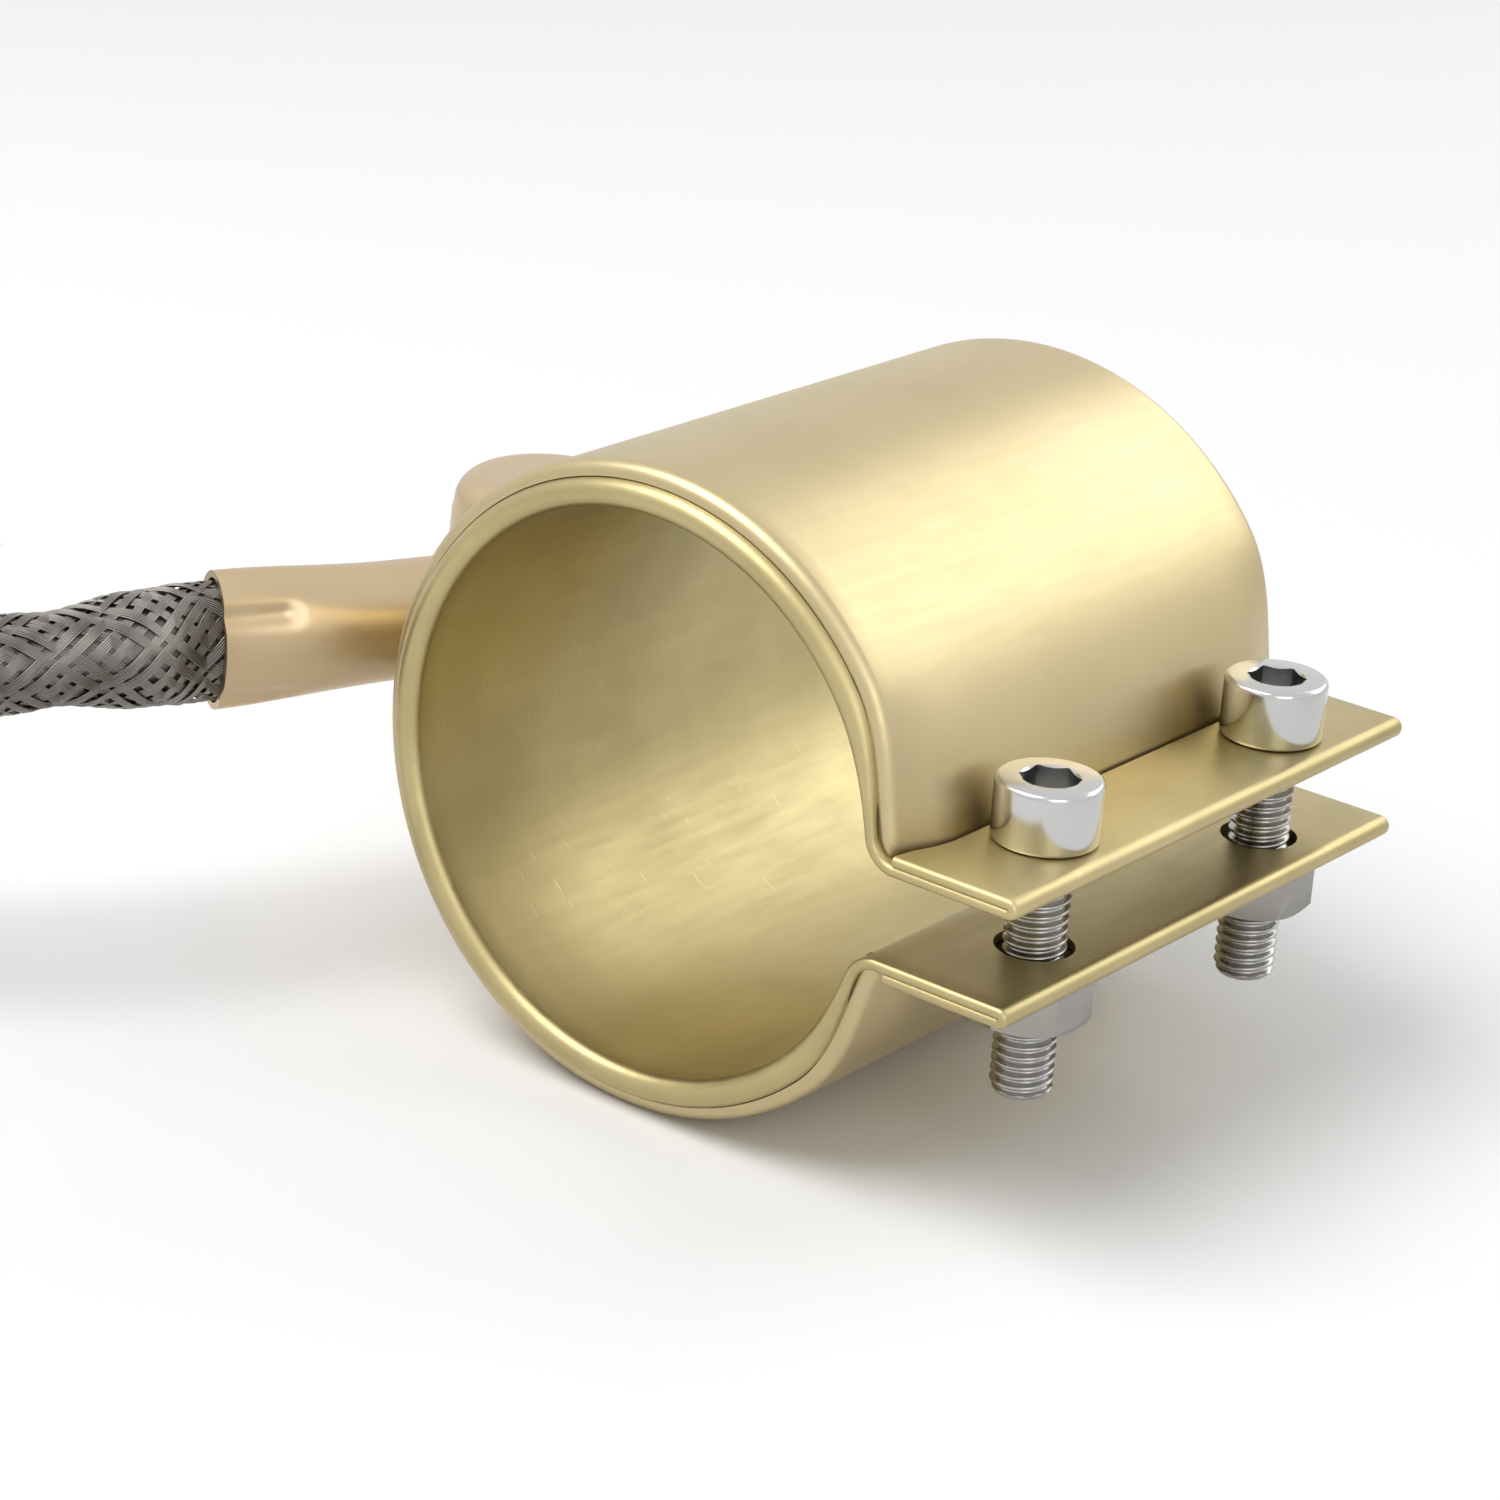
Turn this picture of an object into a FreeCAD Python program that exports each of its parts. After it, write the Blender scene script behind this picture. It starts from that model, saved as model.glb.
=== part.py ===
"""Clamp-on band heater: brass sheath, hemmed clamp flanges, two M6 screws, hooded outlet and braided lead.

Origin at the middle of the bore. +Y runs along the bore, +X points at the flanges, +Z is up.
"""
import FreeCAD, Part
import math
import os

V = FreeCAD.Vector

SIZES = {
    # band
    "bore_radius": 27.5,
    "band_width": 65.0,
    "sheet_gauge": 0.9,
    "wall_stack": 4.3,
    "nose_height": 2.8,
    "lip_reach": 3.0,
    "skin_setback": 1.1,
    "skin_curl": 1.3,
    # clamp flanges
    "flange_reach": 44.0,
    "flange_gap": 8.4,
    "gap_middle": -2.3,
    "hem_slit": 0.25,
    "root_bend": 3.0,
    # heating stack
    "mica_gauge": 0.5,
    "former_gauge": 0.6,
    "ribbon_gauge": 0.15,
    "ribbon_width": 3.0,
    "ribbon_turns": 10,
    "stack_play": 0.05,
    "stack_inset": 5.0,
    "stack_gap_angle": 7.0,
    # clamp screws and nuts
    "screw_line": 37.2,
    "screw_inset": 13.75,
    "thread_radius": 3.0,
    "screw_length": 25.0,
    "head_radius": 5.0,
    "head_height": 6.0,
    "socket_flats": 5.0,
    "socket_depth": 3.0,
    "edge_break": 0.5,
    "nut_flats": 10.0,
    "nut_height": 5.0,
    "thread_play": 0.05,
    "upper_hole_radius": 3.3,
    "lower_hole_radius": 3.75,
    # terminal hood
    "hood_nose_radius": 10.2,
    "hood_reach": 50.0,
    "hood_flare": 18.0,
    "hood_half_height": 14.0,
    "hood_draft": 3.0,
    "hood_edge_radius": 3.0,
    "hood_gauge": 0.8,
    # outlet tube
    "outlet_height": 0.5,
    "outlet_turn": 23.6,
    "tube_radius": 6.1,
    "tube_length": 25.9,
    "tube_gauge": 0.7,
    "tube_play": 0.1,
    "mouth_half_height": 7.3,
    "mouth_half_width": 4.1,
    # terminals
    "terminal_shift": 4.0,
    "pair_spread": 2.2,
    "pin_radius": 1.0,
    "block_height": 13.0,
    "block_width": 8.0,
    "block_to_bend": 2.6,
    "crimp_radius": 2.0,
    "crimp_length": 9.0,
    "crimp_depth": 3.5,
    # lead
    "braid_radius": 5.0,
    "braid_gauge": 0.8,
    "bulge_radius": 6.4,
    "bulge_length": 14.0,
    "braid_entry": 12.0,
    "lead_run": 26.0,
    "wire_radius": 1.5,
    "braid_ferrule_length": 9.0,
    "braid_ferrule_gauge": 0.5,
    "tip_collar_length": 5.0,
    "tip_collar_gauge": 0.3,
    "tip_pin_length": 11.0,
    "tip_pin_radius": 0.9,
    "fit_play": 0.05,
}

doc = FreeCAD.newDocument("band_heater")
sheet = doc.addObject("Spreadsheet::Sheet", "sizes")
for row, (alias, value) in enumerate(SIZES.items(), 1):
    sheet.set(f"A{row}", alias)
    sheet.set(f"B{row}", str(value))
    sheet.setAlias(f"B{row}", alias)
doc.recompute()


def mm(alias):
    """A driving size, read from the sheet."""
    return float(sheet.get(alias))


# ---- sizes worked out from the driving ones ----
gauge = mm("sheet_gauge")
outer_radius = mm("bore_radius") + mm("wall_stack")
skin_inner_radius = outer_radius - gauge
web_outer_radius = mm("bore_radius") + gauge
nose_radius = mm("nose_height") / 2
half_width = mm("band_width") / 2
flange_thickness = 2 * gauge + mm("hem_slit")
upper_flange_top = mm("gap_middle") + mm("flange_gap") / 2 + flange_thickness
lower_flange_base = mm("gap_middle") - mm("flange_gap") / 2 - flange_thickness
out_of_reach = 2 * outer_radius
screw_stations = {"front": mm("screw_inset") - half_width, "rear": half_width - mm("screw_inset")}
turn = math.radians(mm("outlet_turn"))
outlet_way = V(-math.sin(turn), -math.cos(turn), 0)
hood_centre = V(-(mm("hood_reach") - mm("hood_nose_radius")), 0, mm("outlet_height"))
tube_root = hood_centre + outlet_way * mm("hood_nose_radius")
tube_mouth = tube_root + outlet_way * mm("tube_length")
pin_bend_x = hood_centre.x + mm("terminal_shift") * math.tan(turn)
block_face_x = pin_bend_x + mm("block_to_bend")
up = V(0, 0, 1)


# ---- drawing helpers ----
def bind(feature, **formulas):
    """Tie a feature's properties to formulas on the sheet."""
    for name, formula in formulas.items():
        feature.setExpression(name, formula)


def origin_plane(body, role):
    return next(f for f in body.Origin.OriginFeatures if f.Role == role)


def sketch_on(body, name, role, edges):
    """A sketch on one of the body's origin planes."""
    sketch = body.newObject("Sketcher::SketchObject", name)
    sketch.AttachmentSupport = (origin_plane(body, role), [""])
    sketch.MapMode = "FlatFace"
    sketch.addGeometry(edges, False)
    return sketch


def line(start, end):
    return Part.LineSegment(V(*start, 0), V(*end, 0))


def polygon(points):
    return [line(p, q) for p, q in zip(points, points[1:] + points[:1])]


def arc(centre, radius, first, last):
    """An arc between two angles in degrees, drawn the short way through their mean."""
    def at(angle):
        a = math.radians(angle)
        return V(centre[0] + radius * math.cos(a), centre[1] + radius * math.sin(a), 0)
    return Part.Arc(at(first), at((first + last) / 2), at(last))


def polar(radius, angle):
    return (radius * math.cos(math.radians(angle)), radius * math.sin(math.radians(angle)))


def mirrored(edges, across):
    """The edges and their mirror images; across is the sketch axis that flips: 0 or 1."""
    def flip(point):
        return V(-point.x, point.y, 0) if across == 0 else V(point.x, -point.y, 0)
    images = []
    for edge in edges:
        if isinstance(edge, Part.LineSegment):
            images.append(Part.LineSegment(flip(edge.StartPoint), flip(edge.EndPoint)))
        else:
            middle = edge.value((edge.FirstParameter + edge.LastParameter) / 2)
            images.append(Part.Arc(flip(edge.StartPoint), flip(middle), flip(edge.EndPoint)))
    return edges + images


def feature(name, shape):
    """A document object that holds a shape made with Part's own functions."""
    made = doc.addObject("Part::Feature", name)
    made.Shape = shape
    made.Label = name
    return made


def new_body(name):
    body = doc.addObject("PartDesign::Body", name)
    body.Label = name
    return body


def revolved(body, name, edges):
    """Turn a profile, drawn beside the Y axis, all the way round it."""
    feature = body.newObject("PartDesign::Revolution", name)
    feature.Profile = sketch_on(body, name + "_profile", "XY_Plane", edges)
    feature.ReferenceAxis = (feature.Profile[0], ["V_Axis"])
    feature.Angle = 360
    return feature


def cut_through(body, name, role, edges):
    """Cut an outline out of the whole body, both ways from the plane."""
    feature = body.newObject("PartDesign::Pocket", name)
    feature.Profile = sketch_on(body, name + "_outline", role, edges)
    feature.Type = "ThroughAll"
    feature.SideType = "Symmetric"
    return feature


def flange_bend(side):
    """Where the sheet leaves the ring: (bend centre x, bend centre height, angle), measured on its own side."""
    level = side * mm("gap_middle") + mm("flange_gap") / 2 + gauge / 2
    height = level + mm("root_bend")
    to_centre = mm("bore_radius") + gauge / 2 + mm("root_bend")
    along = math.sqrt(to_centre**2 - height**2)
    return along, height, math.degrees(math.asin(height / to_centre))


def flange_edges(side):
    """The sheet from the ring through the root bend to the hem and back: side is 1 for upper, -1 for lower."""
    bend_x, bend_height, angle = flange_bend(side)
    base = bend_height - mm("root_bend") - gauge / 2
    hem_radius = gauge + mm("hem_slit") / 2
    hem = (mm("flange_reach") - hem_radius, base + hem_radius)
    seat = base + gauge + mm("stack_play")
    seam_x = math.sqrt(outer_radius**2 - seat**2) + mm("stack_play")
    outside, inside = mm("root_bend") + gauge / 2, mm("root_bend") - gauge / 2
    centre = (bend_x, bend_height)

    def at(middle, radius, degrees):
        x, height = polar(radius, degrees)
        return V(middle[0] + x, side * (middle[1] + height), 0)

    def bend(middle, radius, first, last):
        return Part.Arc(at(middle, radius, first), at(middle, radius, (first + last) / 2),
                        at(middle, radius, last))

    def run(start, end):
        return Part.LineSegment(V(start[0], side * start[1], 0), V(end[0], side * end[1], 0))

    top = base + flange_thickness
    ring_outside, ring_inside = at(centre, outside, 180 + angle), at(centre, inside, 180 + angle)
    return [
        bend(centre, outside, 180 + angle, 270),
        run((bend_x, base), (hem[0], base)),
        bend(hem, hem_radius, -90, 90),
        run((hem[0], top), (seam_x, top)),
        run((seam_x, top), (seam_x, top - gauge)),
        run((seam_x, top - gauge), (hem[0], top - gauge)),
        bend(hem, mm("hem_slit") / 2, 90, -90),
        run((hem[0], base + gauge), (bend_x, base + gauge)),
        bend(centre, inside, 270, 180 + angle),
        Part.LineSegment(ring_inside, ring_outside),
    ]


def hole(body, name, radius, low, high):
    """The pair of screw holes through one flange, between two heights."""
    feature = body.newObject("PartDesign::Pocket", name)
    spots = [V(mm("screw_line"), y, 0) for y in screw_stations.values()]
    circles = [Part.Circle(spot, up, radius) for spot in spots]
    feature.Profile = sketch_on(body, name + "_outline", "XY_Plane", circles)
    feature.Reversed = high > 0
    feature.Type = "Length"
    feature.Length = max(abs(low), abs(high))
    return feature


# ---- brass sheath ----
def make_inner_sheath():
    """One sheet: bore, rolled noses at both ends, and the two hemmed clamp flanges."""
    body = new_body("inner_sheath")
    bore, web = mm("bore_radius"), web_outer_radius
    top = bore + mm("nose_height")
    roll_y = half_width - nose_radius
    lip_y = roll_y - mm("lip_reach")
    roll = (bore + nose_radius, roll_y)
    half = [
        arc(roll, nose_radius, 180, 0),
        line((top, roll_y), (top, lip_y)),
        line((top, lip_y), (top - gauge, lip_y)),
        line((top - gauge, lip_y), (top - gauge, roll_y)),
        arc(roll, nose_radius - gauge, 0, 180),
    ]
    webs = [line((bore, -roll_y), (bore, roll_y)), line((web, -roll_y), (web, roll_y))]
    revolved(body, "ring", mirrored(half, 1) + webs)
    upper, lower = flange_bend(1)[2], flange_bend(-1)[2]
    wedge = [(0, 0), polar(out_of_reach, upper), polar(out_of_reach, -lower)]
    cut_through(body, "band_gap", "XZ_Plane", polygon(wedge))
    for name, side in (("upper_flange", 1), ("lower_flange", -1)):
        flange = body.newObject("PartDesign::Pad", name)
        flange.Profile = sketch_on(body, name + "_outline", "XZ_Plane", flange_edges(side))
        flange.SideType = "Symmetric"
        bind(flange, Length="sizes.band_width")
    hole(body, "upper_holes", mm("upper_hole_radius"), 0, upper_flange_top + 1)
    hole(body, "lower_holes", mm("lower_hole_radius"), lower_flange_base - 1, 0)
    return body


def make_outer_skin():
    """The cover sheet: a split ring whose edges curl in behind the noses, open under the hood."""
    body = new_body("outer_skin")
    curl = mm("skin_curl")
    edge_y = half_width - mm("skin_setback")
    foot = mm("bore_radius") + mm("nose_height") + mm("stack_play")
    roll = (outer_radius - curl, edge_y - curl)
    half = [
        arc(roll, curl, 0, 90),
        line((roll[0], edge_y), (foot, edge_y)),
        line((foot, edge_y), (foot, edge_y - gauge)),
        line((foot, edge_y - gauge), (roll[0], edge_y - gauge)),
        arc(roll, curl - gauge, 90, 0),
    ]
    faces = [line((r, -roll[1]), (r, roll[1])) for r in (outer_radius, skin_inner_radius)]
    revolved(body, "cover", mirrored(half, 1) + faces)
    seats = [side * (flange_bend(side)[1] - mm("root_bend") + gauge / 2 + mm("stack_play")) for side in (1, -1)]
    opening = [(0, seats[0]), (out_of_reach, seats[0]), (out_of_reach, seats[1]), (0, seats[1])]
    cut_through(body, "flange_slot", "XZ_Plane", polygon(opening))
    window = body.newObject("PartDesign::Pocket", "terminal_window")
    height, width = mm("block_height") / 2 + mm("fit_play"), mm("block_width") / 2 + mm("fit_play")
    y, z = mm("terminal_shift"), mm("outlet_height")
    corners = [(y - width, z - height), (y + width, z - height), (y + width, z + height), (y - width, z + height)]
    window.Profile = sketch_on(body, "terminal_window_outline", "YZ_Plane", polygon(corners))
    window.Type = "ThroughAll"
    return body


# ---- heating stack ----
def stack_wedge():
    """The part of the circle that the stack leaves free at the flanges."""
    upper, lower = (flange_bend(side)[2] + mm("stack_gap_angle") for side in (1, -1))
    return polygon([(0, 0), polar(out_of_reach, upper), polar(out_of_reach, -lower)])


def make_layer(name, inner_radius, thickness, window=None, inset=0):
    """One curved mica strip; window is the half size of its terminal opening, inset narrows the strip."""
    body = new_body(name)
    reach = half_width - mm("stack_inset") - 1 * (inset > 0) - inset
    outer = inner_radius + thickness
    revolved(body, name + "_strip", polygon([(inner_radius, -reach), (outer, -reach), (outer, reach), (inner_radius, reach)]))
    cut_through(body, name + "_gap", "XZ_Plane", stack_wedge())
    if window:
        slot = body.newObject("PartDesign::Pocket", name + "_window")
        width, height = window
        y, z = mm("terminal_shift"), mm("outlet_height")
        corners = [(y - width, z - height), (y + width, z - height), (y + width, z + height), (y - width, z + height)]
        slot.Profile = sketch_on(body, name + "_window_outline", "YZ_Plane", polygon(corners))
        slot.Type = "ThroughAll"
    return body


inner_mica_radius = web_outer_radius + mm("stack_play")
under_run_radius = inner_mica_radius + mm("mica_gauge") + mm("stack_play")
former_radius = under_run_radius + mm("ribbon_gauge") + mm("stack_play")
over_run_radius = former_radius + mm("former_gauge") + mm("stack_play")
outer_mica_radius = over_run_radius + mm("ribbon_gauge") + mm("stack_play")
outer_mica_gauge = skin_inner_radius - mm("stack_play") - outer_mica_radius


def ring_patch(radius, thickness, low_y, high_y, first, last):
    """A curved plate between two stations along Y and two angles, measured from +X towards +Z."""
    outer = radius + thickness
    corners = [V(radius, low_y, 0), V(outer, low_y, 0), V(outer, high_y, 0), V(radius, high_y, 0)]
    plate = Part.Face(Part.makePolygon(corners + corners[:1]))
    axis = V(0, -1, 0)
    plate.rotate(V(0, 0, 0), axis, min(first, last))
    return plate.revolve(V(0, 0, 0), axis, abs(last - first))


def make_resistance_ribbon():
    """Flat ribbon wound round the former in two halves, from the pins to the flanges, joined by one strap."""
    turns = int(mm("ribbon_turns"))
    thin = mm("ribbon_gauge")
    edge = half_width - mm("stack_inset") - 1
    past = edge - mm("ribbon_width") + mm("stack_play")
    wide = math.degrees(mm("ribbon_width") / former_radius) / 2
    rise = over_run_radius + thin - under_run_radius
    pieces, ends = [], []
    for side in (1, -1):
        pin = 180 - side * math.degrees(math.asin((mm("pair_spread") + side * mm("outlet_height")) / over_run_radius))
        root = flange_bend(side)[2] + mm("stack_gap_angle") + 2 * wide
        end = root if side > 0 else 360 - root
        step = (end - pin) / turns
        ends.append(end)
        for index in range(turns + 1):
            over = pin + index * step
            under = over + step / 2
            foot = edge if index == turns else past + thin
            pieces.append(ring_patch(over_run_radius, thin, -foot, past + thin, over - wide, over + wide))
            if index == turns:
                continue
            pieces.append(ring_patch(under_run_radius, thin, -past - thin, past + thin, under - wide, under + wide))
            low, high = min(over, under) - wide, max(over, under) + wide
            pieces.append(ring_patch(under_run_radius, rise, past, past + thin, low, high))
            low, high = min(under, over + step) - wide, max(under, over + step) + wide
            pieces.append(ring_patch(under_run_radius, rise, -past - thin, -past, low, high))
    strap_width = mm("ribbon_width") / 2
    pieces.append(ring_patch(over_run_radius, thin, -edge, -edge + strap_width, ends[0] - wide, ends[1] + wide))
    return feature("resistance_ribbon", pieces[0].multiFuse(pieces[1:]).removeSplitter())


# ---- screws and nuts ----
def hexagon(flats):
    return [polar(flats / math.sqrt(3), 60 * k) for k in range(6)]


def make_screw(name, y):
    """Socket cap screw, drawn with its head's underside at height 0 and its thread as a plain shank."""
    body = new_body(name)
    shank, head, rise, broken = mm("thread_radius"), mm("head_radius"), mm("head_height"), mm("edge_break")
    depth = -mm("screw_length")
    outline = [(0, rise), (head - broken, rise), (head, rise - broken), (head, 0), (shank, 0),
               (shank, depth + broken), (shank - broken, depth), (0, depth)]
    turned = body.newObject("PartDesign::Revolution", "turned")
    turned.Profile = sketch_on(body, "turned_profile", "XZ_Plane", polygon(outline))
    turned.ReferenceAxis = (turned.Profile[0], ["V_Axis"])
    turned.Angle = 360
    doc.recompute()
    socket = body.newObject("PartDesign::Pocket", "hex_socket")
    outline = sketch_on(body, "hex_socket_outline", "XY_Plane", polygon(hexagon(mm("socket_flats"))))
    outline.AttachmentOffset = FreeCAD.Placement(V(0, 0, rise), FreeCAD.Rotation())
    socket.Profile = outline
    socket.Type = "Length"
    bind(socket, Length="sizes.socket_depth")
    mouth = body.newObject("PartDesign::Groove", "socket_mouth")
    wide = mm("socket_flats") / math.sqrt(3) + mm("edge_break") / 4
    cone = polygon([(0, rise), (wide, rise), (0, rise - wide / math.sqrt(3))])
    mouth.Profile = sketch_on(body, "socket_mouth_profile", "XZ_Plane", cone)
    mouth.ReferenceAxis = (mouth.Profile[0], ["V_Axis"])
    mouth.Angle = 360
    body.Placement.Base = V(mm("screw_line"), y, upper_flange_top)
    return body


def make_nut(name, y):
    """Hexagon nut under the lower flange, with both faces chamfered by a turned cut."""
    body = new_body(name)
    corner = mm("nut_flats") / math.sqrt(3)
    blank = body.newObject("PartDesign::Pad", "blank")
    blank.Profile = sketch_on(body, "blank_outline", "XY_Plane", polygon(hexagon(mm("nut_flats"))))
    blank.Reversed = True
    bind(blank, Length="sizes.nut_height")
    bore = body.newObject("PartDesign::Pocket", "thread_bore")
    bore.Profile = sketch_on(body, "thread_bore_outline", "XY_Plane",
                             [Part.Circle(V(0, 0, 0), up, mm("thread_radius") + mm("thread_play"))])
    bore.Type = "ThroughAll"
    low = -mm("nut_height")
    flat = mm("nut_flats") / 2 * 0.97
    fall = (corner - flat) * math.tan(math.radians(30))
    for end, (level, way) in {"upper": (0, -1), "lower": (low, 1)}.items():
        groove = body.newObject("PartDesign::Groove", end + "_chamfer")
        wedge = polygon([(flat, level), (corner + 1, level), (corner + 1, level + way * (fall + math.tan(math.radians(30))))])
        groove.Profile = sketch_on(body, end + "_chamfer_profile", "XZ_Plane", wedge)
        groove.ReferenceAxis = (groove.Profile[0], ["V_Axis"])
        groove.Angle = 360
    body.Placement.Base = V(mm("screw_line"), y, lower_flange_base)
    return body


# ---- hood and outlet tube ----
def hood_block(name, inset):
    """The hood's outside form, or its cavity when inset by the wall: a round-nosed, flared, drafted block."""
    flare = math.radians(mm("hood_flare"))
    radius = mm("hood_nose_radius") - inset
    tangent = (hood_centre.x - radius * math.sin(flare), radius * math.cos(flare))
    base_x = nose_radius - mm("bore_radius")
    base_y = tangent[1] + (base_x - tangent[0]) * math.tan(flare)
    nose = Part.Arc(V(tangent[0], tangent[1], 0), V(hood_centre.x - radius, 0, 0), V(tangent[0], -tangent[1], 0))
    outline = doc.addObject("Sketcher::SketchObject", name + "_outline")
    outline.addGeometry([
        nose,
        line((tangent[0], -tangent[1]), (base_x, -base_y)),
        line((base_x, -base_y), (base_x, base_y)),
        line((base_x, base_y), tangent),
    ], False)
    outline.Placement.Base = V(0, 0, mm("outlet_height"))
    block = doc.addObject("Part::Extrusion", name)
    block.Base = outline
    block.Dir = up
    block.Solid = True
    block.LengthFwd = block.LengthRev = mm("hood_half_height") - inset
    block.TaperAngle = block.TaperAngleRev = -mm("hood_draft")
    doc.recompute()
    rounded = doc.addObject("Part::Fillet", name + "_rounded")
    rounded.Base = block
    ends = [mm("outlet_height") + side * (mm("hood_half_height") - inset) for side in (1, -1)]
    rounded.Edges = [
        (index, mm("hood_edge_radius") - inset, mm("hood_edge_radius") - inset)
        for index, edge in enumerate(block.Shape.Edges, 1)
        if any(abs(edge.BoundBox.ZMin - z) + abs(edge.BoundBox.ZMax - z) < 0.01 for z in ends)
        and edge.BoundBox.XLength > 0.1
    ]
    return rounded


def outlet_frame(distance):
    """A placement on the outlet's centre line: local Z along it, local X straight up."""
    side = outlet_way.cross(up)
    return FreeCAD.Placement(tube_root + outlet_way * distance, FreeCAD.Rotation(up, side, outlet_way, "ZXY"))


def oval(name, distance, half_height, half_width_there):
    ring = doc.addObject("Part::Ellipse", name)
    ring.MajorRadius = max(half_height, half_width_there + 0.001)
    ring.MinorRadius = half_width_there
    ring.Placement = outlet_frame(distance)
    return ring


def lofted(name, ovals):
    loft = doc.addObject("Part::Loft", name)
    loft.Sections = ovals
    loft.Solid = True
    loft.Ruled = False
    return loft


def tube_form(name, inset, overrun):
    """The outlet tube's outside, or its bore when inset by the wall and run past both ends."""
    straight, squeeze = 0.4 * mm("tube_length"), 0.75 * mm("tube_length")
    radius = mm("tube_radius") - inset
    tall, slim = mm("mouth_half_height") - inset, mm("mouth_half_width") - inset
    inner_end = -2 * mm("hood_gauge") - overrun
    return lofted(name, [
        oval(name + "_root", inner_end, radius, radius),
        oval(name + "_round", straight, radius, radius),
        oval(name + "_squeeze", squeeze, (2 * tall + radius) / 3, (slim + radius) / 2),
        oval(name + "_mouth", mm("tube_length"), tall, slim),
    ])


def cut(name, base, tool):
    result = doc.addObject("Part::Cut", name)
    result.Base = base
    result.Tool = tool
    return result


def make_hood():
    """Drawn hood that sits on the skin, with the hole that the outlet tube is set in."""
    shell = cut("hood_shell", hood_block("hood_outside", 0), hood_block("hood_cavity", mm("hood_gauge")))
    band = doc.addObject("Part::Cylinder", "hood_seat")
    band.Placement = FreeCAD.Placement(V(0, out_of_reach, 0), FreeCAD.Rotation(V(1, 0, 0), 90))
    bind(band, Radius="sizes.bore_radius + sizes.wall_stack + sizes.stack_play")
    band.Height = 2 * out_of_reach
    seated = cut("hood_on_seat", shell, band)
    drill = doc.addObject("Part::Cylinder", "tube_drill")
    drill.Placement = outlet_frame(-mm("hood_nose_radius") / 2)
    bind(drill, Radius="sizes.tube_radius + sizes.tube_play")
    drill.Height = mm("hood_nose_radius")
    hood = cut("terminal_hood", seated, drill)
    hood.Label = "terminal_hood"
    return hood


def make_tube():
    tube = cut("outlet_tube", tube_form("tube_outside", 0, 0), tube_form("tube_bore", mm("tube_gauge"), mm("tube_gauge")))
    tube.Label = "outlet_tube"
    return tube


# ---- terminals, leads and braid ----
def rounded_route(points, skip=0, ease=0.45):
    """Straight runs joined by tangent arcs, each as large as its two runs allow; skip trims the start."""
    edges, radii = [], []
    start = points[0] + (points[1] - points[0]).normalize() * skip
    for before, corner, after in zip(points, points[1:], points[2:]):
        incoming, outgoing = (corner - before).normalize(), (after - corner).normalize()
        half_turn = incoming.getAngle(outgoing) / 2
        reach = ease * min((corner - before).Length, (after - corner).Length)
        radius = reach / math.tan(half_turn)
        first, last = corner - incoming * reach, corner + outgoing * reach
        centre = corner + (outgoing - incoming).normalize() * (radius / math.cos(half_turn))
        middle = centre + (corner - centre).normalize() * radius
        edges += [Part.LineSegment(start, first).toShape(), Part.Arc(first, middle, last).toShape()]
        radii.append(radius)
        start = last
    edges.append(Part.LineSegment(start, points[-1]).toShape())
    return Part.Wire(edges), radii


def swept(points, radius, skip=0):
    """A round rod along a rounded route, its length, and its tightest bend."""
    path, radii = rounded_route(points, skip)
    way = (points[1] - points[0]).normalize()
    section = Part.Wire(Part.Circle(points[0] + way * skip, way, radius).toShape())
    return path.makePipeShell([section], True, False), path.Length, min(radii)


def report_tube(name, solid, section, length, tightest):
    share = solid.Volume / (section * length)
    print(f"{name}: length {length:.1f}, tightest radius {tightest:.1f}, volume over section x length {share:.3f}")


FREE_ROUTE = [  # the free lead's bends past its first run, then the end of the braid
    V(-84.0, -73.4, -4.9),
    V(-108.1, -79.6, -12.5),
    V(-132.3, -74.7, -20.5),
    V(-153.2, -60.1, -24.9),
    V(-165.9, -39.7, -26.2),
    V(-169.7, -18.0, -26.2),
]
LEAD_TAILS = {  # each lead's own bends past the end of the braid
    "upper": [V(-169.9, -5.0, -27.2), V(-166.9, 7.4, -29.9), V(-163.2, 17.6, -29.9)],
    "lower": [V(-172.6, -5.2, -29.6), V(-177.8, 6.6, -29.9), V(-181.6, 16.8, -29.9)],
}
braid_route = [tube_mouth, tube_mouth + outlet_way * mm("lead_run")] + FREE_ROUTE
pair_offsets = {"upper": up * mm("pair_spread"), "lower": up * -mm("pair_spread")}
tube_inside = mm("tube_radius") - mm("tube_gauge")
crimp_start = tube_root + outlet_way * (mm("tube_gauge") * 2)
crimp_end = crimp_start + outlet_way * mm("crimp_length")


def make_terminal_block():
    """Ceramic block that stands on the mica, through the skin's window, and carries the two pins."""
    block = doc.addObject("Part::Box", "block_blank")
    bind(block, Height="sizes.block_height", Width="sizes.block_width")
    block.Length = -skin_inner_radius - block_face_x
    block.Placement.Base = V(block_face_x, mm("terminal_shift") - mm("block_width") / 2,
                             mm("outlet_height") - mm("block_height") / 2)
    drilled = block
    for key, offset in pair_offsets.items():
        drill = doc.addObject("Part::Cylinder", f"block_drill_{key}")
        bind(drill, Radius="sizes.pin_radius + sizes.fit_play", Height="sizes.hood_reach")
        start = V(0, mm("terminal_shift"), mm("outlet_height") + offset.z)
        drill.Placement = FreeCAD.Placement(start, FreeCAD.Rotation(V(0, 1, 0), -90))
        drilled = cut(f"block_drilled_{key}", drilled, drill)
    drilled.Label = "terminal_block"
    return drilled


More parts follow.
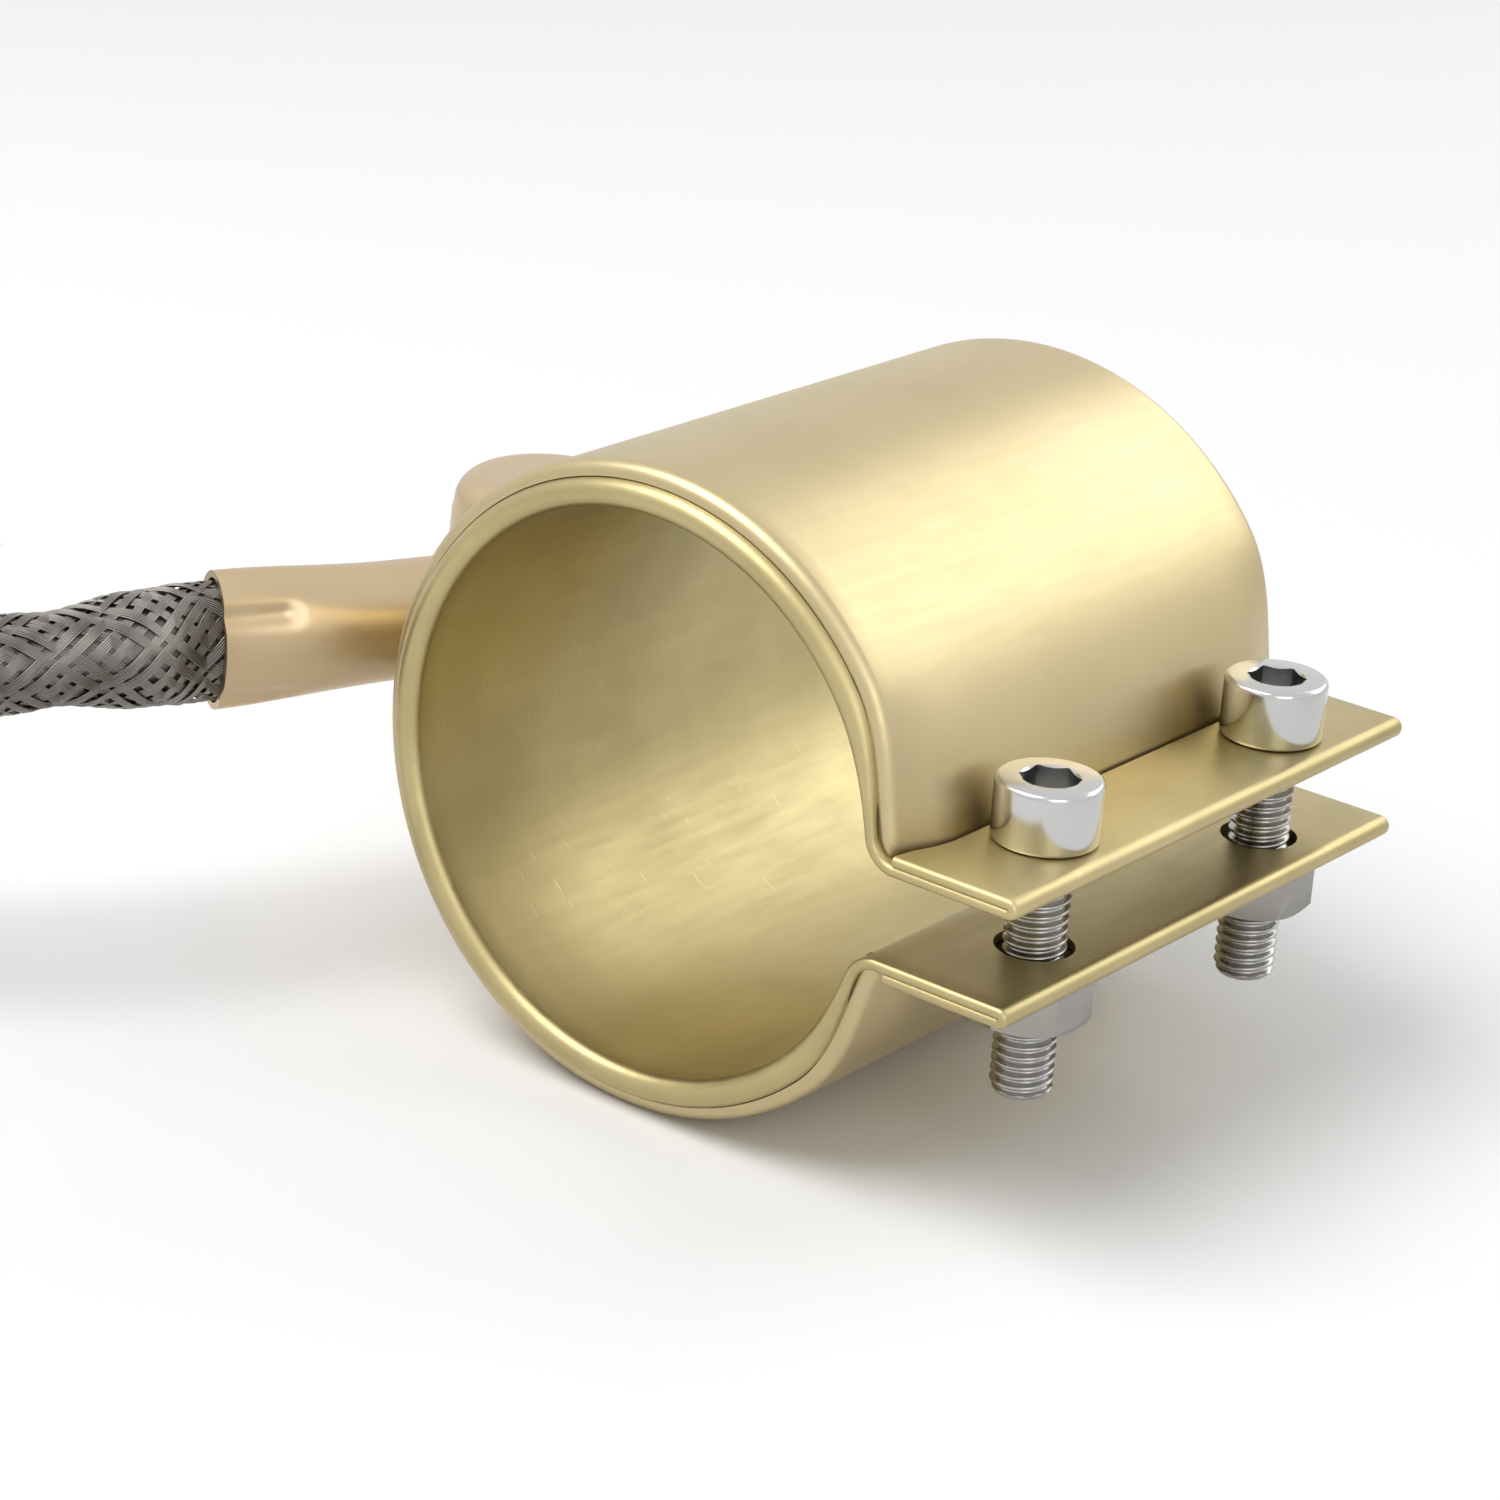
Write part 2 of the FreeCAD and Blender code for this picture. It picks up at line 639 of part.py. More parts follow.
def make_pin(key):
    """Bent pin from the ribbon, out through the block, to the bottom of its crimp barrel."""
    height = mm("outlet_height") + pair_offsets[key].z
    start_x = -over_run_radius - mm("ribbon_gauge")
    bend_y = mm("terminal_shift")
    points = [V(start_x, bend_y, height), V(pin_bend_x, bend_y, height),
              crimp_start + outlet_way * mm("crimp_depth") + pair_offsets[key]]
    incoming, outgoing = (points[1] - points[0]).normalize(), (points[2] - points[1]).normalize()
    half_turn = incoming.getAngle(outgoing) / 2
    bend = 2 * mm("pin_radius")
    reach = bend * math.tan(half_turn)
    first, last = points[1] - incoming * reach, points[1] + outgoing * reach
    centre = points[1] + (outgoing - incoming).normalize() * (bend / math.cos(half_turn))
    middle = centre + (points[1] - centre).normalize() * bend
    path = Part.Wire([Part.LineSegment(points[0], first).toShape(), Part.Arc(first, middle, last).toShape(),
                      Part.LineSegment(last, points[2]).toShape()])
    section = Part.Wire(Part.Circle(points[0], incoming, mm("pin_radius")).toShape())
    return feature(f"terminal_pin_{key}", path.makePipeShell([section], True, False))


def turned_piece(name, outline, distance, offset, way):
    """Turn an outline of (radius, station) pairs round an axis that starts at a point and runs one way."""
    face = Part.Face(Part.makePolygon([V(r, 0, z) for r, z in outline + outline[:1]]))
    solid = face.revolve(V(0, 0, 0), V(0, 0, 1), 360)
    made = feature(name, solid)
    made.Placement = FreeCAD.Placement(distance + offset, FreeCAD.Rotation(V(0, 0, 1), way))
    return made


def make_crimp(key):
    """Crimp barrel: blind bore for the pin at one end, for the lead at the other."""
    outside, length, depth = mm("crimp_radius"), mm("crimp_length"), mm("crimp_depth")
    pin_bore, wire_bore = mm("pin_radius") + mm("fit_play"), mm("wire_radius") + mm("fit_play")
    outline = [(0, depth), (pin_bore, depth), (pin_bore, 0), (outside, 0), (outside, length),
               (wire_bore, length), (wire_bore, length - depth), (0, length - depth)]
    return turned_piece(f"pin_crimp_{key}", outline, crimp_start, pair_offsets[key], outlet_way)


def lead_points(key):
    start = crimp_end - outlet_way * mm("crimp_depth")
    return [p + pair_offsets[key] for p in [start] + braid_route[1:]] + LEAD_TAILS[key]


def make_lead(key):
    """One glass-sleeved lead, from its crimp barrel to its tip ferrule."""
    solid, length, tightest = swept(lead_points(key), mm("wire_radius"))
    report_tube(f"lead_wire_{key}", solid, math.pi * mm("wire_radius")**2, length, tightest)
    return feature(f"lead_wire_{key}", solid)


def make_tip(key):
    """Pin ferrule on a lead's end."""
    bore, pin = mm("wire_radius") + mm("fit_play"), mm("tip_pin_radius")
    collar, length = bore + mm("tip_collar_gauge"), mm("tip_collar_length")
    floor = length - collar
    outline = [(0, floor), (bore, floor), (bore, 0), (collar, 0), (collar, floor), (pin, length),
               (pin, length + mm("tip_pin_length")), (0, length + mm("tip_pin_length"))]
    points = lead_points(key)
    way = (points[-1] - points[-2]).normalize()
    return turned_piece(f"lead_tip_{key}", outline, points[-1] - way * floor, V(0, 0, 0), way)


def sleeve_form(inset):
    """The braid's outside, or its inside when inset: squeezed in the mouth, a bulge past it, then a round tube."""
    base = mm("tube_length")
    tall = mm("mouth_half_height") - mm("tube_gauge") - mm("fit_play") - inset
    slim = mm("mouth_half_width") - mm("tube_gauge") - mm("fit_play") - inset
    free, bulge = mm("braid_radius") - inset, mm("bulge_radius") - inset
    stations = [(base - mm("braid_entry"), free, free),
                (base - mm("braid_entry") / 2, (free + tall) / 2, (free + slim) / 2),
                (base, tall, slim),
                (base + mm("bulge_length") / 2, bulge, bulge),
                (base + mm("bulge_length"), free + mm("fit_play"), free + mm("fit_play"))]
    rings = []
    for distance, half_height, half_width_there in stations:
        tallest = max(half_height, half_width_there + 0.001)
        ring = Part.Ellipse(V(0, 0, 0), tallest, half_width_there).toShape()
        ring.Placement = outlet_frame(distance)
        rings.append(Part.Wire(ring))
    return Part.makeLoft(rings, True, False), swept(braid_route, free, mm("bulge_length"))


def make_sleeve():
    """Braided sleeve over both leads, squeezed in the tube's mouth and round along the free lead."""
    front, (rear, length, tightest) = sleeve_form(0)
    front_bore, (rear_bore, _, _) = sleeve_form(mm("braid_gauge"))
    section = math.pi * mm("braid_radius")**2
    report_tube("braided_sleeve", rear, section, length, tightest)
    return feature("braided_sleeve", front.cut(front_bore).fuse(rear.cut(rear_bore)))


def make_braid_ferrule():
    """Crimped ring that holds the braid's end."""
    way = (braid_route[-1] - braid_route[-2]).normalize()
    bore = mm("braid_radius") + mm("fit_play")
    outside, length = bore + mm("braid_ferrule_gauge"), mm("braid_ferrule_length")
    outline = [(bore, 0), (outside, 0), (outside, length), (bore, length)]
    return turned_piece("braid_end_ferrule", outline, braid_route[-1] - way * length, V(0, 0, 0), way)


# ---- the whole heater ----
window = (mm("pin_radius") + 0.5, mm("pair_spread") + mm("pin_radius") + 0.5)
pieces = [
    make_inner_sheath(),
    make_outer_skin(),
    make_layer("inner_mica", inner_mica_radius, mm("mica_gauge")),
    make_layer("winding_former", former_radius, mm("former_gauge"), inset=mm("ribbon_width")),
    make_layer("outer_mica", outer_mica_radius, outer_mica_gauge, window=window),
    make_resistance_ribbon(),
    make_hood(),
    make_tube(),
    make_terminal_block(),
    make_sleeve(),
    make_braid_ferrule(),
]
for end, y in screw_stations.items():
    pieces += [make_screw(f"clamp_screw_{end}", y), make_nut(f"clamp_nut_{end}", y)]
for key in pair_offsets:
    pieces += [make_pin(key), make_crimp(key), make_lead(key), make_tip(key)]

doc.recompute()

faults = [obj.Name for obj in doc.Objects if "Invalid" in obj.State or "Error" in obj.State]
faults += [obj.Name for obj in doc.Objects
           if hasattr(obj, "Shape") and obj.TypeId != "App::Origin" and obj.isDerivedFrom("Part::Feature")
           and (obj.Shape.isNull() or not obj.Shape.isValid())]
for obj in doc.Objects:
    if obj.TypeId in ("PartDesign::Pocket", "PartDesign::Groove") and obj.BaseFeature:
        if obj.Shape.Volume > obj.BaseFeature.Shape.Volume - 0.01:
            faults.append(obj.Name + " cuts nothing")
if faults:
    raise RuntimeError("faulty objects: " + ", ".join(faults))

os.makedirs("parts", exist_ok=True)
for piece in pieces:
    piece.Shape.exportStep(f"parts/{piece.Label}.step")
    print(f"{piece.Label}: {len(piece.Shape.Solids)} solid, {piece.Shape.Volume:.1f} mm3")
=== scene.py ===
import bpy
import math
import random
from mathutils import Matrix, Vector, noise


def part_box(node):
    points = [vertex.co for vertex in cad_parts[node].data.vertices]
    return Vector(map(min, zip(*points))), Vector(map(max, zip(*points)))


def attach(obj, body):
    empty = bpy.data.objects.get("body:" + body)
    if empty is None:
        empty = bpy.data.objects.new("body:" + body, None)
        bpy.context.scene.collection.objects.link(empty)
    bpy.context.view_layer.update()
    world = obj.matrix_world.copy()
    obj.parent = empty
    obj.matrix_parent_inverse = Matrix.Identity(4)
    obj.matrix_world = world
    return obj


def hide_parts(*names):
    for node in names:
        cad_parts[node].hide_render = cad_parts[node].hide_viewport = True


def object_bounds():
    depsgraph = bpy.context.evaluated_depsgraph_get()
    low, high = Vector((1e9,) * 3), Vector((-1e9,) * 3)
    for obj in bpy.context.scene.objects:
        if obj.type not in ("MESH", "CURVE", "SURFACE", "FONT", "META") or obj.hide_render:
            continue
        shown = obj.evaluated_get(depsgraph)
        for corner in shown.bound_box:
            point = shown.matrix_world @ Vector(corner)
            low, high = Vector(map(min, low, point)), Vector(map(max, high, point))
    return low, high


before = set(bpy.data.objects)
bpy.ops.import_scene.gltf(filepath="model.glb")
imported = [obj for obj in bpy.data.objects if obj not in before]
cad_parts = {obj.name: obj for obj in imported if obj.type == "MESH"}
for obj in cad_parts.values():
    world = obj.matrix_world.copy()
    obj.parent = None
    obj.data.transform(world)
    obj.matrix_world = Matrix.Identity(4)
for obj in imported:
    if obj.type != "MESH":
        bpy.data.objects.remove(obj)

cad_box = [list(corner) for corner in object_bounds()]

MM = 0.001
UP = Vector((0, 0, 1))

# ---- sizes, in millimetres ----
BORE_RADIUS = 27.5
WALL_STACK = 4.3
GAUGE = 0.9
HALF_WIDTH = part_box("inner_sheath")[1].y / MM
FLANGE_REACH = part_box("inner_sheath")[1].x / MM
NOSE_HEIGHT = 2.8
LIP_REACH = 3.0
FLANGE_GAP = 8.4
GAP_MIDDLE = -2.3
HEM_SLIT = 0.25
ROOT_BEND = 3.0
SKIN_EDGE = HALF_WIDTH - 1.1
SKIN_CURL = 1.3
FIT_PLAY = 0.05
SCREW_LINE = 37.2
SCREW_STATION = 18.75
UPPER_HOLE = 3.3
LOWER_HOLE = 3.75
DRILL_OVERRUN = 2
HEAD_RADIUS = 5
HEAD_HEIGHT = 6
SOCKET_FLATS = 5
SOCKET_DEPTH = 3
NUT_FLATS = 10
NUT_HEIGHT = 5
FLANGE_THICKNESS = 2 * GAUGE + HEM_SLIT
FLANGE_TOP = GAP_MIDDLE + FLANGE_GAP / 2 + FLANGE_THICKNESS
FLANGE_BASE = GAP_MIDDLE - FLANGE_GAP / 2 - FLANGE_THICKNESS
OUTLET_HEIGHT = 0.5
OUTLET_TURN = math.radians(23.6)
OUTLET_WAY = Vector((-math.sin(OUTLET_TURN), -math.cos(OUTLET_TURN), 0))
HOOD_NOSE = 10.2
HOOD_CENTRE = Vector((-39.8, 0, OUTLET_HEIGHT))
TUBE_ROOT = HOOD_CENTRE + OUTLET_WAY * HOOD_NOSE
TUBE_LENGTH = 25.9
TUBE_MOUTH = TUBE_ROOT + OUTLET_WAY * TUBE_LENGTH
OUTER_RADIUS = BORE_RADIUS + WALL_STACK
HOOD_GAUGE = 0.8
TUBE_GAUGE = 0.7

# ---- how finely the sheath is divided: along the blank, then across it ----
FLANGE_STEPS = 24
FOLD_STEPS = 12
BEND_STEPS = 14
RING_STEPS = 240
LIP_ROWS = 3
ROLL_ROWS = 10
WEB_ROWS = 30


# ---- small tools ----
def deselect():
    bpy.ops.object.select_all(action="DESELECT")


def select_only(piece):
    deselect()
    piece.select_set(True)
    bpy.context.view_layer.objects.active = piece


def ease(value):
    """0 below 0, 1 above 1, smooth between."""
    value = min(max(value, 0.0), 1.0)
    return value * value * (3 - 2 * value)


def mix(a, b, share):
    return a + (b - a) * share


def apply_modifiers(piece):
    select_only(piece)
    for modifier in list(piece.modifiers):
        bpy.ops.object.modifier_apply(modifier=modifier.name)


def edit_whole_mesh(piece, *steps):
    """Run edit-mode steps with all of the piece's mesh selected, then face it outward."""
    select_only(piece)
    bpy.ops.object.mode_set(mode="EDIT")
    bpy.ops.mesh.select_all(action="SELECT")
    for step in steps:
        step()
    bpy.ops.mesh.normals_make_consistent(inside=False)
    bpy.ops.object.mode_set(mode="OBJECT")


def smooth(piece, degrees):
    select_only(piece)
    bpy.ops.object.shade_smooth_by_angle(angle=math.radians(degrees))


def sheet_blank(name, columns, rows, place, closed=False):
    """A flat blank of columns x rows faces, formed by place(column, row); closed joins its edges."""
    deselect()
    bpy.ops.mesh.primitive_grid_add(x_subdivisions=columns, y_subdivisions=rows, size=1)
    blank = bpy.context.object
    blank.name = name
    for vertex in blank.data.vertices:
        column = round((vertex.co.x + 0.5) * columns)
        row = round((vertex.co.y + 0.5) * rows)
        vertex.co = Vector(place(column, row)) * MM
    if closed:
        edit_whole_mesh(blank, lambda: bpy.ops.mesh.remove_doubles(threshold=1e-6))
    return blank


def thicken(piece, thickness, offset=0):
    wall = piece.modifiers.new("wall", "SOLIDIFY")
    wall.thickness = thickness * MM
    wall.offset = offset
    wall.use_even_offset = True
    apply_modifiers(piece)


def dress(piece, material):
    piece.data.materials.clear()
    piece.data.materials.append(material)


def finish_piece(piece, body, material, slot, *nodes):
    dress(piece, material)
    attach(piece, body)
    if nodes:
        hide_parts(*nodes)


# ---- finishes ----
def new_group(name, inputs, outputs):
    """An empty node group with named float inputs and named outputs."""
    group = bpy.data.node_groups.new(name, "ShaderNodeTree")
    for label, value in inputs.items():
        socket = group.interface.new_socket(label, in_out="INPUT", socket_type="NodeSocketFloat")
        socket.default_value = value
    for label, kind in outputs.items():
        group.interface.new_socket(label, in_out="OUTPUT", socket_type=kind)
    nodes = group.nodes
    return group, nodes.new("NodeGroupInput"), nodes.new("NodeGroupOutput")


def noise_node(nodes, links, vector, scale, detail, stretch=(1, 1, 1)):
    mapping = nodes.new("ShaderNodeMapping")
    mapping.inputs["Scale"].default_value = stretch
    links.new(vector, mapping.inputs["Vector"])
    texture = nodes.new("ShaderNodeTexNoise")
    texture.inputs["Scale"].default_value = scale
    texture.inputs["Detail"].default_value = detail
    links.new(mapping.outputs["Vector"], texture.inputs["Vector"])
    return texture.outputs["Fac"]


def math_node(nodes, links, operation, a, b):
    node = nodes.new("ShaderNodeMath")
    node.operation = operation
    for socket, value in zip(node.inputs, (a, b)):
        if isinstance(value, (int, float)):
            socket.default_value = value
        else:
            links.new(value, socket)
    return node.outputs[0]


def make_sheet_wear():
    """Cloudy tone, fine rolling grain and sparse scratches of bright sheet metal."""
    group, given, out = new_group(
        "sheet wear",
        {"Cloud": 0.5, "Grain": 0.5, "Scratches": 0.3},
        {"Tone": "NodeSocketFloat", "Rough": "NodeSocketFloat", "Height": "NodeSocketFloat"},
    )
    nodes, links = group.nodes, group.links
    where = nodes.new("ShaderNodeTexCoord").outputs["Object"]
    cloud = noise_node(nodes, links, where, 60, 5)
    patch = noise_node(nodes, links, where, 18, 3, (1, 0.6, 1))
    grain = noise_node(nodes, links, where, 900, 4, (1, 0.12, 1))
    scratch = noise_node(nodes, links, where, 420, 2, (0.3, 2.4, 1.1))
    ramp = nodes.new("ShaderNodeValToRGB")
    ramp.color_ramp.elements[0].position = 0.66
    ramp.color_ramp.elements[1].position = 0.72
    links.new(scratch, ramp.inputs["Fac"])
    lines = math_node(nodes, links, "MULTIPLY", ramp.outputs["Color"], given.outputs["Scratches"])

    def swing(value, amount):
        """A texture's swing about its middle, times the named amount."""
        centred = math_node(nodes, links, "SUBTRACT", value, 0.5)
        return math_node(nodes, links, "MULTIPLY", centred, given.outputs[amount])

    clouds = swing(cloud, "Cloud")
    patches = swing(patch, "Cloud")
    tone = math_node(nodes, links, "ADD", 0.5, math_node(nodes, links, "ADD", clouds, patches))
    links.new(tone, out.inputs["Tone"])
    grains = swing(grain, "Grain")
    rough_patches = math_node(nodes, links, "MULTIPLY", patches, 0.35)
    rough_grains = math_node(nodes, links, "MULTIPLY", grains, 0.25)
    rough = math_node(nodes, links, "ADD", rough_patches, rough_grains)
    worn_lines = math_node(nodes, links, "MULTIPLY", lines, 0.1)
    cut_lines = math_node(nodes, links, "MULTIPLY", lines, 0.8)
    links.new(math_node(nodes, links, "SUBTRACT", rough, worn_lines), out.inputs["Rough"])
    links.new(math_node(nodes, links, "SUBTRACT", grains, cut_lines), out.inputs["Height"])
    return group


SHEET_WEAR = make_sheet_wear()


def metal(name, low, high, roughness, cloud=0.5, grain=0.5, scratches=0.3, relief=0.02):
    """Sheet or bar metal: tone between two colours, roughness and relief from the wear group."""
    material = bpy.data.materials.new(name)
    material.use_nodes = True
    nodes, links = material.node_tree.nodes, material.node_tree.links
    shader = nodes["Principled BSDF"]
    shader.inputs["Metallic"].default_value = 1.0
    wear = nodes.new("ShaderNodeGroup")
    wear.node_tree = SHEET_WEAR
    for label, value in (("Cloud", cloud), ("Grain", grain), ("Scratches", scratches)):
        wear.inputs[label].default_value = value
    ramp = nodes.new("ShaderNodeValToRGB")
    ramp.color_ramp.elements[0].position = 0.2
    ramp.color_ramp.elements[0].color = (*low, 1)
    ramp.color_ramp.elements[1].position = 0.8
    ramp.color_ramp.elements[1].color = (*high, 1)
    links.new(wear.outputs["Tone"], ramp.inputs["Fac"])
    links.new(ramp.outputs["Color"], shader.inputs["Base Color"])
    links.new(math_node(nodes, links, "ADD", roughness, wear.outputs["Rough"]), shader.inputs["Roughness"])
    bump = nodes.new("ShaderNodeBump")
    bump.inputs["Strength"].default_value = 1.0
    bump.inputs["Distance"].default_value = relief * MM
    links.new(wear.outputs["Height"], bump.inputs["Height"])
    links.new(bump.outputs["Normal"], shader.inputs["Normal"])
    return material


def dull(name, low, high, roughness, scale=300, relief=0.03):
    """A non-metal: mica, ceramic or glass sleeving."""
    material = bpy.data.materials.new(name)
    material.use_nodes = True
    nodes, links = material.node_tree.nodes, material.node_tree.links
    shader = nodes["Principled BSDF"]
    shader.inputs["Roughness"].default_value = roughness
    where = nodes.new("ShaderNodeTexCoord").outputs["Object"]
    fleck = noise_node(nodes, links, where, scale, 5)
    ramp = nodes.new("ShaderNodeValToRGB")
    ramp.color_ramp.elements[0].position = 0.35
    ramp.color_ramp.elements[0].color = (*low, 1)
    ramp.color_ramp.elements[1].position = 0.65
    ramp.color_ramp.elements[1].color = (*high, 1)
    links.new(fleck, ramp.inputs["Fac"])
    links.new(ramp.outputs["Color"], shader.inputs["Base Color"])
    bump = nodes.new("ShaderNodeBump")
    bump.inputs["Distance"].default_value = relief * MM
    links.new(fleck, bump.inputs["Height"])
    links.new(bump.outputs["Normal"], shader.inputs["Normal"])
    return material


brass_skin = metal("satin_brass", (0.50, 0.41, 0.225), (0.61, 0.51, 0.30), 0.40,
                   cloud=0.6, grain=0.5, scratches=0.2)
brass_bore = metal("handled_brass", (0.41, 0.34, 0.165), (0.56, 0.47, 0.245), 0.42,
                   cloud=1.2, grain=0.6, scratches=0.5)
brass_drawn = metal("drawn_brass", (0.54, 0.41, 0.25), (0.64, 0.51, 0.34), 0.36,
                    cloud=0.5, grain=0.3, scratches=0.1)
screw_steel = metal("polished_steel", (0.48, 0.48, 0.475), (0.60, 0.60, 0.59), 0.17,
                    cloud=0.2, grain=0.2, scratches=0.1)
thread_steel = metal("rolled_thread_steel", (0.34, 0.33, 0.32), (0.48, 0.47, 0.45), 0.28,
                     cloud=0.4, grain=0.3)
nut_steel = metal("brushed_nut_steel", (0.26, 0.25, 0.23), (0.40, 0.385, 0.355), 0.42,
                  cloud=0.6, grain=0.8, scratches=0.5)
braid_steel = metal("braid_wire_steel", (0.16, 0.148, 0.134), (0.33, 0.31, 0.283), 0.34,
                    cloud=0.8, grain=0.2)
# painted shade: a darker, rougher copy of the braid wire steel, standing in for the shade inside the braid
braid_painted_shade = metal("braid_painted_shade_layer", (0.10, 0.095, 0.09), (0.22, 0.21, 0.20), 0.5, cloud=0.8, grain=0.6)
nickel = metal("nickel_plate", (0.52, 0.50, 0.45), (0.66, 0.64, 0.58), 0.25, cloud=0.4, grain=0.3)
ribbon_alloy = metal("resistance_alloy", (0.26, 0.25, 0.23), (0.40, 0.38, 0.35), 0.4)
mica = dull("pressed_mica", (0.42, 0.36, 0.26), (0.62, 0.56, 0.42), 0.6)
ceramic = dull("steatite_ceramic", (0.78, 0.74, 0.64), (0.86, 0.83, 0.74), 0.45, 600)
sleeving = dull("glass_sleeving", (0.72, 0.68, 0.58), (0.86, 0.83, 0.75), 0.75, 1500, 0.06)


# ---- band path ----
def flange_level(side):
    """Height of the flange sheet's middle from the bore axis, measured on its own side."""
    return side * GAP_MIDDLE + FLANGE_GAP / 2 + GAUGE / 2


def root_angle(side):
    return math.asin((flange_level(side) + ROOT_BEND) / (BORE_RADIUS + GAUGE / 2 + ROOT_BEND))


class Path:
    """A line of runs and bends in the XZ plane, with a point and an outward direction at each station."""

    def __init__(self, start, heading):
        self.place = Vector((start[0], 0, start[1]))
        self.heading = heading
        self.stations = [self.state()]

    def state(self):
        way = Vector((math.cos(self.heading), 0, math.sin(self.heading)))
        return self.place.copy(), Vector((way.z, 0, -way.x))

    def run(self, length, steps):
        way = Vector((math.cos(self.heading), 0, math.sin(self.heading)))
        for _ in range(steps):
            self.place += way * (length / steps)
            self.stations.append(self.state())

    def bend(self, radius, turn, steps):
        """Positive turns are anticlockwise."""
        for _ in range(steps):
            side = math.copysign(1, turn)
            centre = self.place + Vector((-math.sin(self.heading), 0, math.cos(self.heading))) * radius * side
            spoke = self.place - centre
            step = turn / steps
            cos, sin = math.cos(step), math.sin(step)
            self.place = centre + Vector((spoke.x * cos - spoke.z * sin, 0, spoke.x * sin + spoke.z * cos))
            self.heading += step
            self.stations.append(self.state())


def sheath_path():
    """From the upper hem's inner end, out round the fold, through the ring, to the lower hem's inner end."""
    hem = (GAUGE + HEM_SLIT) / 2
    fold_x = FLANGE_REACH - GAUGE - HEM_SLIT / 2
    mid_radius = BORE_RADIUS + GAUGE / 2
    seam_x = OUTER_RADIUS + 0.15
    upper, lower = root_angle(1), root_angle(-1)
    bend_x = [math.sqrt((mid_radius + ROOT_BEND) ** 2 - (flange_level(s) + ROOT_BEND) ** 2) for s in (1, -1)]
    path = Path((seam_x, flange_level(1) + 2 * hem), 0.0)
    path.run(fold_x - seam_x, FLANGE_STEPS)
    path.bend(hem, -math.pi, FOLD_STEPS)
    path.run(fold_x - bend_x[0], FLANGE_STEPS)
    path.bend(ROOT_BEND, -(math.pi / 2 - upper), BEND_STEPS)
    path.bend(mid_radius, 2 * math.pi - upper - lower, RING_STEPS)
    path.bend(ROOT_BEND, -(math.pi / 2 - lower), BEND_STEPS)
    path.run(fold_x - bend_x[1], FLANGE_STEPS)
    path.bend(hem, -math.pi, FOLD_STEPS)
    path.run(fold_x - seam_x, FLANGE_STEPS)
    return path.stations


RING_FIRST = FLANGE_STEPS + FOLD_STEPS + FLANGE_STEPS + BEND_STEPS
RING_LAST = RING_FIRST + RING_STEPS


def beyond_root(place, side):
    """Degrees from one flange's root along the ring."""
    angle = math.degrees(math.atan2(place.z, place.x)) * side
    return (angle % 360) - math.degrees(root_angle(side))


def pinch_at(place):
    """1 where the band is squeezed thin at a flange root, 0 round the rest of the ring."""
    return max(1 - ease((beyond_root(place, side) - 1) / 26) for side in (1, -1))


def drill_flange(sheath, y, radius, low, high):
    """A screw hole through both layers of one flange."""
    deselect()
    depth = high - low + DRILL_OVERRUN
    middle = Vector((SCREW_LINE, y, (low + high) / 2))
    bpy.ops.mesh.primitive_cylinder_add(vertices=64, radius=radius * MM, depth=depth * MM,
                                        location=middle * MM)
    drill = bpy.context.object
    hole = sheath.modifiers.new("screw_hole", "BOOLEAN")
    hole.operation = "DIFFERENCE"
    hole.solver = "EXACT"
    hole.object = drill
    apply_modifiers(sheath)
    bpy.data.objects.remove(drill, do_unlink=True)


def make_sheath():
    """Brass sheath: one blank with rolled noses, root bends and hemmed flanges."""
    stations = sheath_path()
    curve = NOSE_HEIGHT / 2 - GAUGE / 2
    rows = 2 * (LIP_ROWS + ROLL_ROWS) + WEB_ROWS

    def section(row, fullness):
        """(station along Y, height above the sheet's middle) at one row."""
        if row > rows / 2:
            y, height = section(rows - row, fullness)
            return -y, height
        radius = curve * mix(0.12, 1, fullness)
        lip = LIP_REACH * mix(0.03, 1, fullness)
        centre = HALF_WIDTH - radius - GAUGE / 2
        if row < LIP_ROWS:
            return -(centre - lip * (1 - row / LIP_ROWS)), 2 * radius
        rolled = row - LIP_ROWS
        if rolled < ROLL_ROWS:
            angle = math.pi * rolled / ROLL_ROWS
            return -(centre + radius * math.sin(angle)), radius + radius * math.cos(angle)
        return -centre * (1 - (rolled - ROLL_ROWS) / (WEB_ROWS / 2)), 0.0

    def place(column, row):
        spot, outward = stations[column]
        if RING_FIRST <= column <= RING_LAST:
            fullness = 1 - pinch_at(spot)
        else:
            fullness = 0.0
        y, height = section(row, fullness)
        point = spot + outward * height
        point.y = y
        end = min(column, len(stations) - 1 - column)
        if end < FLANGE_STEPS:
            squeeze = ease((abs(y) - HALF_WIDTH + 7) / 6.5)
            point.x -= 1.5 * squeeze * (1 - end / FLANGE_STEPS)
        return point

    sheath = sheet_blank("brass_sheath", len(stations) - 1, rows, place)
    thicken(sheath, GAUGE)
    for side in (-1, 1):
        drill_flange(sheath, side * SCREW_STATION, UPPER_HOLE, FLANGE_TOP - FLANGE_THICKNESS, FLANGE_TOP)
        drill_flange(sheath, side * SCREW_STATION, LOWER_HOLE, FLANGE_BASE, FLANGE_BASE + FLANGE_THICKNESS)
    return sheath


sheath = make_sheath()


